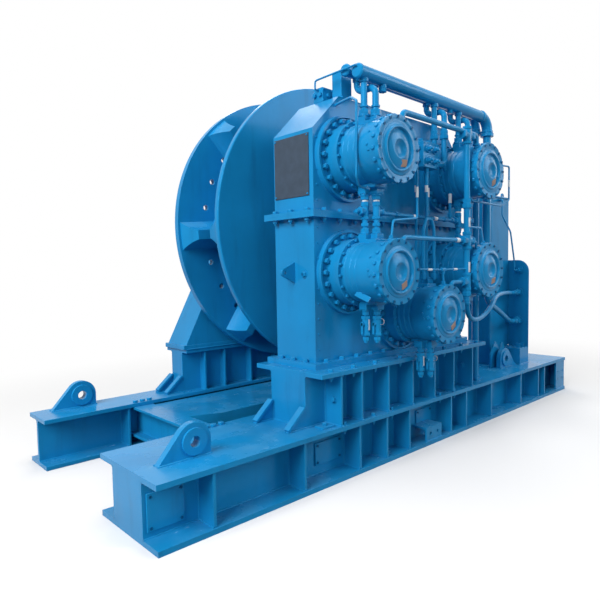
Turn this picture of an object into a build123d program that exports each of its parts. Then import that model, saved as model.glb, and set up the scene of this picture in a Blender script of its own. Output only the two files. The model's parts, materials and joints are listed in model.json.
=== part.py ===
from build123d import *
import os
from math import acos, asin, atan2, cos, hypot, pi, radians, sin, sqrt, tan

# Driving dimensions, in millimetres and degrees.
# X runs along the skid, Y across it with the drives facing -Y, and Z up from the underside of the skid.

# Skid beams
skid_length = 6100.0
skid_width = 2408.0
near_beam_width = 820.0
far_beam_width = 404.0
beam_height = 445.0
flange_plate = 38.0
web_plate = 36.0
box_plate = 24.0
web_inset = 197.0
beam_end_plate = 30.0
stiffener_plate = 22.0
stiffener_setback = 14.0
stiffener_places = [410.0, 1212.0, 1835.0, 2194.0, 3229.0, 3520.0, 4055.0, 4786.0, 5282.0, 5464.0]
drain_hole_radius = 30.0
drain_hole_inset = 260.0
side_plate_length = 268.0
side_plate = 20.0
side_hole_radius = 12.0
side_hole_spacing_x = 140.0
side_hole_spacing_z = 100.0
bracket_start = 2789.0
bracket_length = 258.0
bracket_height = 134.0
bracket_plate = 18.0
bracket_hole_radius = 16.0
bracket_hole_spacing = 116.0

# Cross-members between the beams, placed from the wheel's axis
wheel_x = -412.0
member_offset = 1733.0
rear_member_inset = 350.0
member_width = 200.0
member_height = 297.0
member_flange = 26.0
member_web = 18.0
member_end_plate = 28.0
member_bolt_spacing = 72.0
member_bolt_edge = 34.0
bolt_across_flats = 46.0
bolt_head_height = 24.0

# Deck box under the wheel
deck_top = 400.0
deck_height = 170.0
deck_plate = 12.0
deck_near_clearance = 417.0
deck_far_clearance = 15.0
deck_corner_length = 283.0
deck_corner_width = 134.0

# Lifting padeyes
front_padeye_inset = 415.0
rear_padeye_inset = 1239.0
padeye_plate = 56.0
padeye_near_setback = 283.0
padeye_far_setback = 118.0
padeye_hole_radius = 38.0
padeye_hole_height = 112.0
padeye_nose_radius = 132.0
padeye_tail = 272.0
padeye_cheek_radius = 96.0
padeye_cheek_plate = 16.0

# Web cover plates
cover_plate = 14.0
cover_middle = 205.0
cover_places = [156.0, 1626.0, 2987.0]
cover_widths = [262.0, 304.0, 260.0]
cover_heights = [250.0, 186.0, 186.0]

# Pedestals
pedestal_half_length = 1254.0
axis_above_pedestal = 1258.0
pedestal_top_plate = 39.0
far_web_spacing = 190.0
rib_places = [234.0, 482.0, 835.0, 1192.0, 1550.0, 1891.0, 2256.0]
gusset_length = 194.0
gusset_height = 172.0

# Gear case
case_setback = 234.0
case_half_width = 1094.0
case_depth = 488.0
case_above_axis = 990.0
case_wall = 28.0
case_foot = 48.0
case_foot_overhang = 64.0
case_chamfer = 306.0
axis_height = 2155.0
split_flange = 56.0
split_overhang = 67.0
split_bolt_spacing = 200.0
bearing_boss_wall = 66.0
lug_setback = 250.0
lug_below_axis = 470.0
lug_height = 177.0
lug_reach = 108.0
lug_nose_radius = 34.0
lug_hole_radius = 13.0
lug_plate = 26.0

# Main shaft and its bearings
shaft_radius = 200.0
shaft_collar_radius = 250.0
collar_gap = 8.0
shaft_running_gap = 0.08
bearing_radius = 300.0
bearing_width = 96.0
seat_gap = 0.1

# Chain wheel
wheel_gap = 402.0
wheel_radius = 1412.0
wheel_plate = 60.0
chain_width = 633.0
drum_radius = 960.0
drum_rim = 44.0
drum_web = 44.0
drum_hub_wall = 90.0
whelp_count = 7
whelp_start = 184.3
whelp_slot = 196.0
whelp_tip_outer = 1386.0
whelp_tip_inner = 1323.0
whelp_width_outer = 273.0
whelp_width_inner = 88.0
whelp_flank_radius = 580.0
whelp_root_radius = 215.0
flange_hole_radius = 27.5
flange_hole_circle = 1108.0
flange_hole_steps = 25
flange_hole_clear = 8.0

# Far bearing frame
frame_depth = 370.0
frame_plate = 26.0
frame_foot = 48.0
frame_base_half = 1253.0
frame_top_half = 627.0
frame_boss_wall = 110.0
cap_flange = 70.0
cap_half_width = 560.0
cap_bolt_place = 480.0
cap_bolt_flats = 90.0
cap_bolt_height = 56.0
end_cover_overlap = 60.0
end_cover_plate = 28.0

# Gears
gear_module = 22.0
bull_teeth = 64
pinion_teeth = 14
pressure_angle = 20.0
bull_addendum = 0.85
pinion_addendum = 1.0
gear_dedendum = 1.25
tooth_backlash = 1.2
bull_face = 200.0
bull_rim = 95.0
bull_web = 70.0
bull_hub_radius = 320.0
pinion_face = 212.0
pinion_shaft_radius = 90.0
pinion_bore_depth = 118.0
drive_angle = 33.6

# Drives, outward from the front of the gear case
boss_radius = 356.0
boss_height = 49.0
boss_rim = 20.0
boss_seat = 9.0
pinion_opening_radius = 190.0
gearbox_flange = 25.0
gearbox_radius = 275.0
gearbox_length = 135.0
gearbox_bolt_circle = 306.0
gearbox_bolt_count = 20
gearbox_bolt_flats = 34.0
gearbox_bolt_height = 34.0
motor_neck_radius = 250.0
motor_neck_length = 145.0
motor_waist_radius = 238.0
motor_waist_length = 135.0
motor_collar_radius = 254.0
motor_collar_length = 93.0
motor_ring_radius = 264.0
motor_ring_length = 30.0
collar_slot_count = 12
collar_slot_width = 56.0
collar_slot_length = 60.0
collar_slot_depth = 14.0
cover_seat_radius = 205.0
cover_seat_depth = 8.0
cover_rim_radius = 188.0
cover_rim_width = 16.0
cover_rim_height = 8.0
cover_bowl_radius = 76.0
cover_bowl_depth = 11.0
cover_thickness = 16.0
port_block_height = 62.0
port_block_width = 190.0
port_block_length = 205.0
port_block_shift = 32.0
port_block_setback = 10.0

# Pipework
pressure_port_depth = 48.0
return_port_depth = 115.0
return_port_shift = 65.0
header_radius = 55.0
header_clearance = 150.0
header_bend = 130.0
leg_radius = 27.5
leg_bend = 60.0
pressure_leg_radius = 42.0
header_leg_shift = 577.0
return_header_radius = 46.0
return_header_setback = 84.0
return_header_rise = 188.0
return_leg_radius = 36.0
reducer_drop = 175.0
reducer_height = 34.0
reducer_lip = 14.0
return_foot_reach = 90.0
return_foot_width = 88.0
return_foot_plate = 20.0
header_end = 62.0
link_radius = 24.0
cross_pipe_radius = 16.0
cross_pipe_rise = 23.0
cross_pipe_end = 110.0
feed_radius = 14.0
riser_radius = 29.0
riser_shift = 409.0
riser_setback = 496.0
riser_branch_radii = [24.0, 20.0, 20.0, 22.0, 12.0]
riser_bend = 46.0
riser_branch_rises = [70.0, 24.0, 24.0, 70.0, 24.0]
riser_foot_drop = 705.0
branch_shift = 137.0

# Bulkhead, header tank and hoses
bulkhead_inset = 710.0
bulkhead_plate = 14.0
bulkhead_setback = 207.0
bulkhead_width = 590.0
bulkhead_top = 1796.0
bulkhead_corner = 150.0
bulkhead_base_length = 250.0
bulkhead_base_height = 210.0
bulkhead_base_wall = 12.0
bulkhead_base_clearance = 10.0
tank_length = 502.0
tank_width = 328.0
tank_setback = 482.0
tank_top = 2600.0
tank_wall = 10.0
tank_edge = 24.0
tank_lid_plate = 20.0
tank_lid_overhang = 14.0
tank_cap_radius = 58.0
tank_cap_height = 30.0
return_hose_radius = 24.0
pressure_hose_radius = 30.0
hose_bend_share = 0.45
hose_drop = 170.0
hose_lead = 180.0
fitting_radius = 34.0
fitting_length = 90.0
return_fitting_height = 1371.0
pressure_fitting_height = 998.0
fitting_setback = 330.0
pressure_leg_drop = 595.0
return_hose_shares = [0.083, 0.243, 0.387, 0.532, 0.725, 0.894]
return_hose_bows = [11.0, 26.0, 61.0, 33.0, 47.0, 47.0]
return_hose_rises = [-98.0, -112.0, -20.0, 57.0, 56.0, 25.0]
pressure_hose_shares = [0.135, 0.395, 0.731]
pressure_hose_bows = [-3.0, 16.0, 31.0]
pressure_hose_rises = [-47.0, -30.0, -33.0]

# Valve blocks on the case and valves below the motors
valve_block_length = 130.0
valve_block_width = 110.0
low_valve_block = 125.0
high_valve_block = 235.0
manifold_rise = 459.0
manifold_height = 230.0
manifold_length = 242.0
manifold_width = 140.0
manifold_setback = 38.0
manifold_feed_reach = 88.0
manifold_feed_rises = [170.0, 60.0]
valve_radius = 34.0
valve_height = 150.0
valve_neck_radius = 20.0
valve_neck_height = 60.0
valve_tail_height = 70.0
lowest_valve_shift = 40.0
lowest_valve_depths = [120.0, 182.0]

# Places worked out from the driving dimensions
front_end = -skid_length / 2
rear_end = skid_length / 2
near_edge = -skid_width / 2
far_edge = skid_width / 2
near_beam_y = near_edge + near_beam_width / 2
far_beam_y = far_edge - far_beam_width / 2
near_beam_inner = near_edge + near_beam_width
far_beam_inner = far_edge - far_beam_width
web_clear = beam_height - 2 * flange_plate
pedestal_top = axis_height - axis_above_pedestal
case_bottom = pedestal_top + case_foot
case_top = axis_height + case_above_axis
lug_middle = axis_height - lug_below_axis
case_front = near_edge + case_setback
case_back = case_front + case_depth
near_flange_y = case_back + wheel_gap
chain_near = near_flange_y + wheel_plate
chain_far = chain_near + chain_width
frame_near = far_beam_inner
frame_far = frame_near + frame_depth
bulkhead_y = near_edge + bulkhead_setback
tank_y = near_edge + tank_setback
bulkhead_place = rear_end - bulkhead_inset
hose_end_x = bulkhead_place - fitting_length
hose_end_y = near_edge + fitting_setback
shaft_start = case_front + case_wall + seat_gap
shaft_end = frame_far - frame_plate
gear_middle = case_front + case_depth / 2
pitch_bull = gear_module * bull_teeth / 2
pitch_pinion = gear_module * pinion_teeth / 2
drive_distance = pitch_bull + pitch_pinion
drive_x = drive_distance * cos(radians(drive_angle))
drive_z = drive_distance * sin(radians(drive_angle))
drives = [
    (wheel_x - drive_x, axis_height + drive_z),
    (wheel_x - drive_x, axis_height - drive_z),
    (wheel_x, axis_height - drive_distance),
    (wheel_x + drive_x, axis_height + drive_z),
    (wheel_x + drive_x, axis_height - drive_z),
]
gearbox_back = case_front - boss_seat
gearbox_front = gearbox_back - gearbox_flange - gearbox_length
motor_collar_y = gearbox_front - motor_neck_length - motor_waist_length
motor_ring_y = motor_collar_y - motor_collar_length
motor_front = motor_ring_y - motor_ring_length
cover_back = motor_front + cover_seat_depth
port_reach = motor_neck_radius + port_block_height
riser_foot = axis_height - riser_foot_drop
pressure_leg_foot = axis_height - pressure_leg_drop
manifold_bottom = axis_height + manifold_rise
manifold_end = drives[2][0] - manifold_setback + manifold_length


def block(x_range, y_range, z_range):
    """Box between two limits on each axis."""
    size = [high - low for low, high in (x_range, y_range, z_range)]
    middle = [(low + high) / 2 for low, high in (x_range, y_range, z_range)]
    return Pos(*middle) * Box(*size)


def along_x(profile, start, end):
    """Profile drawn with Y to the right and Z up, run along X."""
    return extrude(Plane.YZ.offset(start) * profile, amount=end - start)


def along_y(profile, start, end):
    """Profile drawn with X to the right and Z up, run along Y."""
    return extrude(Plane.XZ.offset(-end) * profile, amount=end - start)


def disc(x, z, radius, start, end):
    """Round bar along Y."""
    return along_y(Pos(x, z) * Circle(radius), start, end)


def outline(*points):
    """Flat face with straight sides."""
    return make_face(Polyline(*points, close=True))


def turned(*points):
    """Solid of revolution about the Y axis, from points of radius and Y."""
    return revolve(outline(*points), Axis.Y)


def hexagon(flats):
    """Hexagon by its size across flats."""
    return RegularPolygon(flats / 2, 6, major_radius=False)


def tube(points, radius, bend):
    """Round bar along straight runs joined by bends of one radius."""
    path = FilletPolyline(*points, radius=bend) if len(points) > 2 else Line(*points)
    section = Plane(origin=path @ 0, z_dir=path % 0) * Circle(radius)
    return sweep(section, path)


def save(solids, name):
    """Write one node, which may hold several solids."""
    pieces = solids if isinstance(solids, list) else [solids]
    export_step(Compound(children=pieces) if len(pieces) > 1 else pieces[0], f"parts/{name}.step")


def stiffener(x, y_range, z_range):
    """Upright plate across the beam."""
    half = stiffener_plate / 2
    return block((x - half, x + half), y_range, z_range)


def side_end_plate():
    """Plate with four bolt holes that closes the rear end of the near beam's outer channel."""
    x, z = rear_end - side_plate_length / 2, beam_height / 2
    plate = Rectangle(side_plate_length, web_clear)
    holes = GridLocations(side_hole_spacing_x, side_hole_spacing_z, 2, 2)
    plate -= [place * Circle(side_hole_radius) for place in holes]
    front = near_edge + stiffener_setback
    return along_y(Pos(x, z) * plate, front, front + side_plate)


def tie_down_bracket():
    """Angle on the lower flange of the near beam with two holes for a tie."""
    low = front_end + bracket_start
    top = flange_plate + bracket_height
    face = Rectangle(bracket_length, bracket_height)
    holes = GridLocations(bracket_hole_spacing, 0, 2, 1)
    face -= [place * Circle(bracket_hole_radius) for place in holes]
    front = near_edge + stiffener_setback
    middle = Pos(low + bracket_length / 2, flange_plate + bracket_height / 2)
    angle = along_y(middle * face, front, front + bracket_plate)
    roof = (front, near_edge + web_inset - cover_plate)
    return angle + block((low, low + bracket_length), roof, (top - bracket_plate, top))


def near_beam():
    """Girder with two webs, closed at its ends, with stiffeners outside."""
    inner = near_beam_width - 2 * web_inset - 2 * box_plate
    side = near_beam_width / 2 - web_inset / 2
    section = Rectangle(near_beam_width, beam_height)
    section -= [Pos(place, 0) * Rectangle(web_inset, web_clear) for place in (-side, side)]
    section -= Rectangle(inner, web_clear)
    beam = along_x(Pos(near_beam_y, beam_height / 2) * section, front_end, rear_end)
    box_y = (near_beam_y - inner / 2, near_beam_y + inner / 2)
    box_z = (flange_plate, beam_height - flange_plate)
    outer_y = (near_edge + stiffener_setback, near_edge + web_inset)
    inner_y = (near_beam_inner - web_inset, near_beam_inner - stiffener_setback)
    ends = [(front_end, front_end + beam_end_plate), (rear_end - beam_end_plate, rear_end)]
    beam += [block(end, box_y, box_z) for end in ends]
    beam += [stiffener(front_end + place, outer_y, box_z) for place in stiffener_places]
    beam += [stiffener(x, inner_y, box_z) for x in member_stiffeners()]
    beam += [side_end_plate(), tie_down_bracket()]
    drain = Cylinder(drain_hole_radius, flange_plate)
    for x in (front_end + drain_hole_inset, rear_end - drain_hole_inset):
        beam -= Pos(x, near_beam_y, flange_plate / 2) * drain
    return beam


def far_beam():
    """Girder with one web and stiffeners on both sides."""
    side_width = (far_beam_width - web_plate) / 2
    side = far_beam_width / 2 - side_width / 2
    section = Rectangle(far_beam_width, beam_height)
    section -= [Pos(place, 0) * Rectangle(side_width, web_clear) for place in (-side, side)]
    beam = along_x(Pos(far_beam_y, beam_height / 2) * section, front_end, rear_end)
    web_z = (flange_plate, beam_height - flange_plate)
    outer_y = (far_beam_y + web_plate / 2, far_edge - stiffener_setback)
    inner_y = (far_beam_inner + stiffener_setback, far_beam_y - web_plate / 2)
    beam += [stiffener(front_end + place, outer_y, web_z) for place in stiffener_places]
    beam += [stiffener(x, inner_y, web_z) for x in member_stiffeners()]
    return beam


def member_places():
    """Middles of the three cross-members along X."""
    return [wheel_x - member_offset, wheel_x + member_offset, rear_end - rear_member_inset]


def member_stiffeners():
    """Stiffeners beside each cross-member."""
    reach = member_width / 2 + 2 * stiffener_plate
    return [x + side * reach for x in member_places() for side in (-1, 1)]


def cross_member(x):
    """I-section between the beams' webs, lapped under their top flanges."""
    start = near_beam_inner - web_inset
    end = far_beam_y - web_plate / 2
    top = beam_height - flange_plate
    clear = member_height - 2 * member_flange
    side_width = (member_width - member_web) / 2
    side = member_width / 2 - side_width / 2
    section = Rectangle(member_width, member_height)
    section -= [Pos(place, 0) * Rectangle(side_width, clear) for place in (-side, side)]
    middle = top - member_height / 2
    member = along_y(Pos(x, middle) * section, start, end)
    plate = Pos(x, middle) * Rectangle(member_width, member_height)
    member += along_y(plate, start, start + member_end_plate)
    return member + along_y(plate, end - member_end_plate, end)


def deck_box():
    """Closed box with cut corners between the front and middle cross-members."""
    reach = member_offset - member_width / 2
    near = near_beam_inner + deck_near_clearance
    far = far_beam_inner - deck_far_clearance

    def plan(inset):
        low, high = wheel_x - reach + inset, wheel_x + reach - inset
        y_low, y_high = near + inset, far - inset
        return outline(
            (low + deck_corner_length, y_low),
            (high - deck_corner_length, y_low),
            (high, y_low + deck_corner_width),
            (high, y_high),
            (low, y_high),
            (low, y_low + deck_corner_width),
        )

    box = extrude(Pos(0, 0, deck_top - deck_height) * plan(0), amount=deck_height)
    inside = Pos(0, 0, deck_top - deck_height + deck_plate) * plan(deck_plate)
    box -= extrude(inside, amount=deck_height - 2 * deck_plate)
    drain = Pos(wheel_x, (near + far) / 2, deck_top - deck_height + deck_plate / 2)
    return box - drain * Cylinder(drain_hole_radius, deck_plate)


def padeye(side, y):
    """Lifting eye with cheek plates, before or behind the wheel. Its upright edge faces the wheel."""
    reach = hypot(padeye_tail, padeye_hole_height)
    rise = atan2(padeye_hole_height, padeye_tail) + asin(padeye_nose_radius / reach)
    run = sqrt(reach**2 - padeye_nose_radius**2)
    touch = (-padeye_tail + run * cos(rise), run * sin(rise))
    body = outline(
        (-padeye_tail, 0),
        (padeye_nose_radius, 0),
        (padeye_nose_radius, padeye_hole_height),
        (0, padeye_hole_height),
        touch,
    )
    crown = padeye_hole_height + padeye_nose_radius
    above = Pos(0, crown / 2) * Rectangle(2 * padeye_nose_radius, crown)
    body += Pos(0, padeye_hole_height) * Circle(padeye_nose_radius) & above
    half = padeye_plate / 2
    cheek = half + padeye_cheek_plate
    eye = along_y(body, -half, half)
    eye += disc(0, padeye_hole_height, padeye_cheek_radius, -cheek, cheek)
    eye -= disc(0, padeye_hole_height, padeye_hole_radius, -cheek, cheek)
    x = front_end + front_padeye_inset
    if side > 0:
        eye = mirror(eye, about=Plane.YZ)
        x = rear_end - rear_padeye_inset
    return Pos(x, y, beam_height) * eye


def web_covers():
    """Plates over the openings in the near beam's outer web."""
    web = near_edge + web_inset
    return [
        along_y(Pos(front_end + x, cover_middle) * Rectangle(width, height), web - cover_plate, web)
        for x, width, height in zip(cover_places, cover_widths, cover_heights)
    ]


def gussets(web_y, ends):
    """Triangular plates that carry a pedestal's end plates down to the beam."""
    shape = outline((0, 0), (gusset_length, 0), (0, gusset_height))
    half = box_plate / 2
    pieces = []
    for x, side in ends:
        plate = shape if side > 0 else mirror(shape, about=Plane.YZ)
        pieces += [along_y(Pos(x, beam_height) * plate, y - half, y + half) for y in web_y]
    return pieces


def pedestal(middle, width, web_y):
    """Box stand on a beam: two webs, end plates, a top plate, ribs and end gussets."""
    low, high = wheel_x - pedestal_half_length, wheel_x + pedestal_half_length
    half = box_plate / 2
    upright = (beam_height, pedestal_top - pedestal_top_plate)
    edges = (middle - width / 2, middle + width / 2)
    inner = (web_y[0] + half, web_y[1] - half)
    near_side = (edges[0] + stiffener_setback, web_y[0] - half)
    far_side = (web_y[1] + half, edges[1] - stiffener_setback)
    stand = block((low, high), edges, (upright[1], pedestal_top))
    stand += [block((low, high), (y - half, y + half), upright) for y in web_y]
    stand += [block(span, inner, upright) for span in ((low, low + box_plate), (high - box_plate, high))]
    for place in rib_places:
        stand += [stiffener(low + place, side, upright) for side in (near_side, far_side)]
    return stand + gussets(web_y, [(low, -1), (high, 1)])


def case_profile(inset):
    """Upright outline of the gear case with its upper corners cut off."""
    half = case_half_width - inset
    low, high = case_bottom + inset, case_top - inset
    cut = case_chamfer - inset * (2 - sqrt(2))
    return Pos(wheel_x, 0) * outline(
        (-half, low),
        (half, low),
        (half, high - cut),
        (half - cut, high),
        (cut - half, high),
        (-half, high - cut),
    )


def bull_bearing_places():
    """Y limits of the two main bearings in the gear case."""
    front = (case_front + case_wall, case_front + case_wall + bearing_width)
    back = (case_back + split_overhang - bearing_width, case_back + split_overhang)
    return front, back


def gear_case():
    """Hollow case with a split flange, bearing seats and a boss for each drive."""
    case = along_y(case_profile(0), case_front, case_back)
    case += block(
        (wheel_x - case_half_width - case_foot_overhang, wheel_x + case_half_width + case_foot_overhang),
        (case_front - case_foot_overhang, case_back + case_foot_overhang),
        (pedestal_top, case_bottom),
    )
    case += block(
        (wheel_x - case_half_width - split_overhang, wheel_x + case_half_width + split_overhang),
        (case_front - split_overhang, case_back + split_overhang),
        (axis_height - split_flange / 2, axis_height + split_flange / 2),
    )
    front, back = bull_bearing_places()
    seat = bearing_radius + seat_gap
    boss = bearing_radius + bearing_boss_wall
    case += disc(wheel_x, axis_height, boss, case_back - case_wall, back[1])
    for x, z in drives:
        case += disc(x, z, boss_radius, case_front - boss_height, case_front)
    case -= along_y(case_profile(case_wall), case_front + case_wall, case_back - case_wall)
    case += disc(wheel_x, axis_height, boss, case_front + case_wall / 2, front[1])
    case += disc(wheel_x, axis_height, boss, back[0], case_back - case_wall / 2)
    case -= disc(wheel_x, axis_height, seat, front[0], front[1])
    case -= disc(wheel_x, axis_height, seat, back[0], back[1])
    for x, z in drives:
        case -= disc(x, z, boss_radius - boss_rim, case_front - boss_height, gearbox_back)
        case -= disc(x, z, pinion_opening_radius, case_front - boss_height, case_front + case_wall)
    return case


def case_lug():
    """Small plate lug with a round nose on the front end of the lower case."""
    root = wheel_x - case_half_width
    nose = (root - lug_reach, lug_middle)
    shape = make_hull(
        [
            Line((root, lug_middle - lug_height / 2), (root, lug_middle + lug_height / 2)),
            CenterArc(nose, lug_nose_radius, 0, 360),
        ]
    )
    shape -= Pos(*nose) * Circle(lug_hole_radius)
    middle = case_front + lug_setback
    return along_y(shape, middle - lug_plate / 2, middle + lug_plate / 2)


def case_halves():
    """Lower and upper half of the gear case, parted at the shaft's axis."""
    case = gear_case() + case_lug()
    reach = 2 * (case_half_width + split_overhang)
    lower = block(
        (wheel_x - reach, wheel_x + reach),
        (case_front - reach, case_back + reach),
        (pedestal_top, axis_height),
    )
    return case & lower, case - lower


def flange_bolts():
    """Bolt heads above each cross-member and along the ends of the case's split flange."""
    head = extrude(hexagon(bolt_across_flats), amount=bolt_head_height)
    rows = [near_beam_inner - member_bolt_edge, far_beam_inner + member_bolt_edge]
    reach = case_half_width + split_overhang / 2
    split_top = axis_height + split_flange / 2
    places = []
    for step in (-1, 0, 1):
        along = step * member_bolt_spacing
        places += [(x + along, y, beam_height) for x in member_places() for y in rows]
        across = gear_middle + step * split_bolt_spacing
        places += [(wheel_x + side * reach, across, split_top) for side in (-1, 1)]
    return [Pos(*place) * head for place in places]


def bearing(limits):
    """Plain main bearing ring with a running fit on the shaft."""
    bore = shaft_radius + shaft_running_gap
    ring = turned(
        (bore, limits[0]), (bearing_radius, limits[0]), (bearing_radius, limits[1]), (bore, limits[1])
    )
    return Pos(wheel_x, 0, axis_height) * ring


def frame_profile(inset):
    """Upright outline of the far bearing frame."""
    low = pedestal_top + frame_foot
    slope = (frame_base_half - frame_top_half) / (axis_height - low)
    side = inset * sqrt(1 + slope**2)
    top = axis_height - inset
    top_half = frame_top_half + slope * inset - side
    return Pos(wheel_x, 0) * outline(
        (-frame_base_half + side, low),
        (frame_base_half - side, low),
        (top_half, top),
        (-top_half, top),
    )


def far_bearing_limits():
    """Y limits of the far main bearing."""
    middle = (frame_near + frame_far) / 2
    return middle - bearing_width, middle + bearing_width


def bearing_frame():
    """Tapered box stand with a half-round seat for the far bearing."""
    low = pedestal_top + frame_foot
    frame = along_y(frame_profile(0), frame_near, frame_far)
    frame += block(
        (wheel_x - frame_base_half, wheel_x + frame_base_half), (frame_near, frame_far), (pedestal_top, low)
    )
    frame -= along_y(frame_profile(frame_plate), frame_near + frame_plate, frame_far - frame_plate)
    boss = bearing_radius + frame_boss_wall
    seat_ring = disc(wheel_x, axis_height, boss, frame_near + frame_plate / 2, frame_far - frame_plate / 2)
    frame += seat_ring & along_y(frame_profile(frame_plate / 2), frame_near, frame_far)
    drain = Pos(wheel_x, (frame_near + frame_far) / 2, pedestal_top + frame_foot / 2)
    frame -= drain * Cylinder(drain_hole_radius, frame_foot)
    return frame - disc(wheel_x, axis_height, bearing_radius + seat_gap, frame_near, frame_far)


def bearing_cap():
    """Upper half of the far bearing's housing with a bolting foot on each side."""
    start, end = frame_near + frame_plate, frame_far - frame_plate
    boss = bearing_radius + frame_boss_wall
    top_half = Pos(wheel_x, axis_height + boss / 2) * Rectangle(2 * cap_half_width, boss)
    shape = Pos(wheel_x, axis_height) * Circle(boss) & top_half
    shape += Pos(wheel_x, axis_height + cap_flange / 2) * Rectangle(2 * cap_half_width, cap_flange)
    shape -= Pos(wheel_x, axis_height) * Circle(bearing_radius + seat_gap)
    return along_y(shape, start, end)


def end_cover():
    """Round plate that closes the far bearing's housing."""
    radius = bearing_radius + end_cover_overlap
    return disc(wheel_x, axis_height, radius, frame_far, frame_far + end_cover_plate)


def cap_bolts():
    """Nuts on the feet of the far bearing cap."""
    nut = extrude(hexagon(cap_bolt_flats), amount=cap_bolt_height)
    middle = (frame_near + frame_far) / 2
    row = frame_depth / 4
    return [
        Pos(wheel_x + side * cap_bolt_place, middle + step * row, axis_height + cap_flange) * nut
        for side in (-1, 1)
        for step in (-1, 1)
    ]


def main_shaft():
    """Shaft through the bull gear, the wheel and all three bearings."""
    collar_start = case_back + split_overhang + collar_gap
    shaft = turned(
        (0, shaft_start),
        (shaft_radius, shaft_start),
        (shaft_radius, collar_start),
        (shaft_collar_radius, collar_start),
        (shaft_collar_radius, near_flange_y),
        (shaft_radius, near_flange_y),
        (shaft_radius, shaft_end),
        (0, shaft_end),
    )
    return Pos(wheel_x, 0, axis_height) * shaft


def wheel_flange(start, holes):
    """Plain round cheek of the chain wheel."""
    shape = Circle(wheel_radius) - Circle(shaft_radius + seat_gap)
    hole = Pos(flange_hole_circle, 0) * Circle(flange_hole_radius)
    if holes:
        shape -= [Rot(0, 0, angle) * hole for angle in holes]
    return along_y(Pos(wheel_x, axis_height) * shape, start, start + wheel_plate)


def far_flange_holes():
    """Angles of the far cheek's holes, which lie in the pockets between whelps."""
    whelp_step = 360 / whelp_count
    angles = []
    for step in range(flange_hole_steps):
        turn = step * 360 / flange_hole_steps
        off_whelp = abs((turn + whelp_step / 2) % whelp_step - whelp_step / 2)
        if off_whelp > flange_hole_clear:
            angles.append(whelp_start + turn)
    return angles


def hub_drum():
    """Drum between the cheeks: a rim, one web and a hub on the shaft."""
    bore = shaft_radius + seat_gap
    hub = shaft_radius + drum_hub_wall
    rim = drum_radius - drum_rim
    middle = (chain_near + chain_far) / 2
    web = (middle - drum_web / 2, middle + drum_web / 2)
    drum = turned(
        (bore, chain_near),
        (hub, chain_near),
        (hub, web[0]),
        (rim, web[0]),
        (rim, chain_near),
        (drum_radius, chain_near),
        (drum_radius, chain_far),
        (rim, chain_far),
        (rim, web[1]),
        (hub, web[1]),
        (hub, chain_far),
        (bore, chain_far),
    )
    return Pos(wheel_x, 0, axis_height) * drum


def half_whelp():
    """One whelp beside the near cheek, pointing along +X, with waisted flanks, flared root and sloped tip."""
    length = (chain_width - whelp_slot) / 2
    wide, narrow = whelp_width_outer / 2, whelp_width_inner / 2
    start, end = chain_near, chain_near + length
    trough = make_face(
        [
            Line((start, -wide), (start, wide)),
            RadiusArc((start, wide), (end, narrow), -whelp_flank_radius),
            Line((end, narrow), (end, -narrow)),
            RadiusArc((end, -narrow), (start, -wide), -whelp_flank_radius),
        ]
    )
    reach = whelp_tip_outer
    inner = drum_radius - drum_rim
    outward = Plane(origin=(inner, 0, 0), x_dir=(0, 1, 0), z_dir=(1, 0, 0))
    tooth = extrude(outward * trough, amount=reach - inner)
    root = drum_radius
    flare = whelp_root_radius
    foot = make_face(
        [
            Line((inner, -narrow - flare), (inner, narrow + flare)),
            Line((inner, narrow + flare), (root, narrow + flare)),
            RadiusArc((root, narrow + flare), (root + flare, narrow), -flare),
            Line((root + flare, narrow), (root + flare, -narrow)),
            RadiusArc((root + flare, -narrow), (root, -narrow - flare), -flare),
            Line((root, -narrow - flare), (inner, -narrow - flare)),
        ]
    )
    tooth += along_y(foot, start, end)
    seat = drum_radius + seat_gap
    envelope = turned((seat, start), (whelp_tip_outer, start), (whelp_tip_inner, end), (seat, end))
    return tooth & envelope


def whelps():
    """Near and far rows of whelps, mirrored about the middle of the chain's space."""
    near = half_whelp()
    middle = (chain_near + chain_far) / 2
    far = mirror(near, about=Plane.XZ.offset(-middle))
    places = [
        Pos(wheel_x, 0, axis_height) * Rot(0, -whelp_start - turn * 360 / whelp_count, 0)
        for turn in range(whelp_count)
    ]
    return [place * near for place in places], [place * far for place in places]


def involute(angle):
    """Involute function of a pressure angle."""
    return tan(angle) - angle


def gear_outline(teeth, addendum, start):
    """Straight-sided involute teeth. start is the angle of the first tooth's middle, in radians."""
    pressure = radians(pressure_angle)
    pitch = gear_module * teeth / 2
    base = pitch * cos(pressure)
    root = pitch - gear_dedendum * gear_module
    tip = pitch + addendum * gear_module
    half_tooth = pi / (2 * teeth) + involute(pressure) - tooth_backlash / (4 * pitch)

    def half_angle(radius):
        return half_tooth - involute(acos(base / max(radius, base)))

    flank = [(radius, half_angle(radius)) for radius in (root, pitch, tip)]
    points = []
    for tooth in range(teeth):
        middle = start + 2 * pi * tooth / teeth
        rising = [(radius, middle - half) for radius, half in flank]
        falling = [(radius, middle + half) for radius, half in reversed(flank)]
        points += [(radius * cos(angle), radius * sin(angle)) for radius, angle in rising + falling]
    return outline(*points)


def bull_gear():
    """Large gear on the main shaft: toothed rim, web and hub."""
    half = bull_face / 2
    shape = gear_outline(bull_teeth, bull_addendum, 0) - Circle(shaft_radius + seat_gap)
    gear = along_y(Pos(wheel_x, axis_height) * shape, gear_middle - half, gear_middle + half)
    inside = pitch_bull - bull_rim
    side = (bull_face - bull_web) / 2
    for start in (gear_middle - half, gear_middle + half - side):
        hollow = Circle(inside) - Circle(bull_hub_radius)
        gear -= along_y(Pos(wheel_x, axis_height) * hollow, start, start + side)
    return gear


def pinion_phase(x, z):
    """Angle of a pinion's first tooth that puts its teeth in the bull gear's gaps."""
    toward = atan2(z - axis_height, x - wheel_x)
    return toward + pi - (-pitch_bull * toward + pi * gear_module / 2) / pitch_pinion


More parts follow.
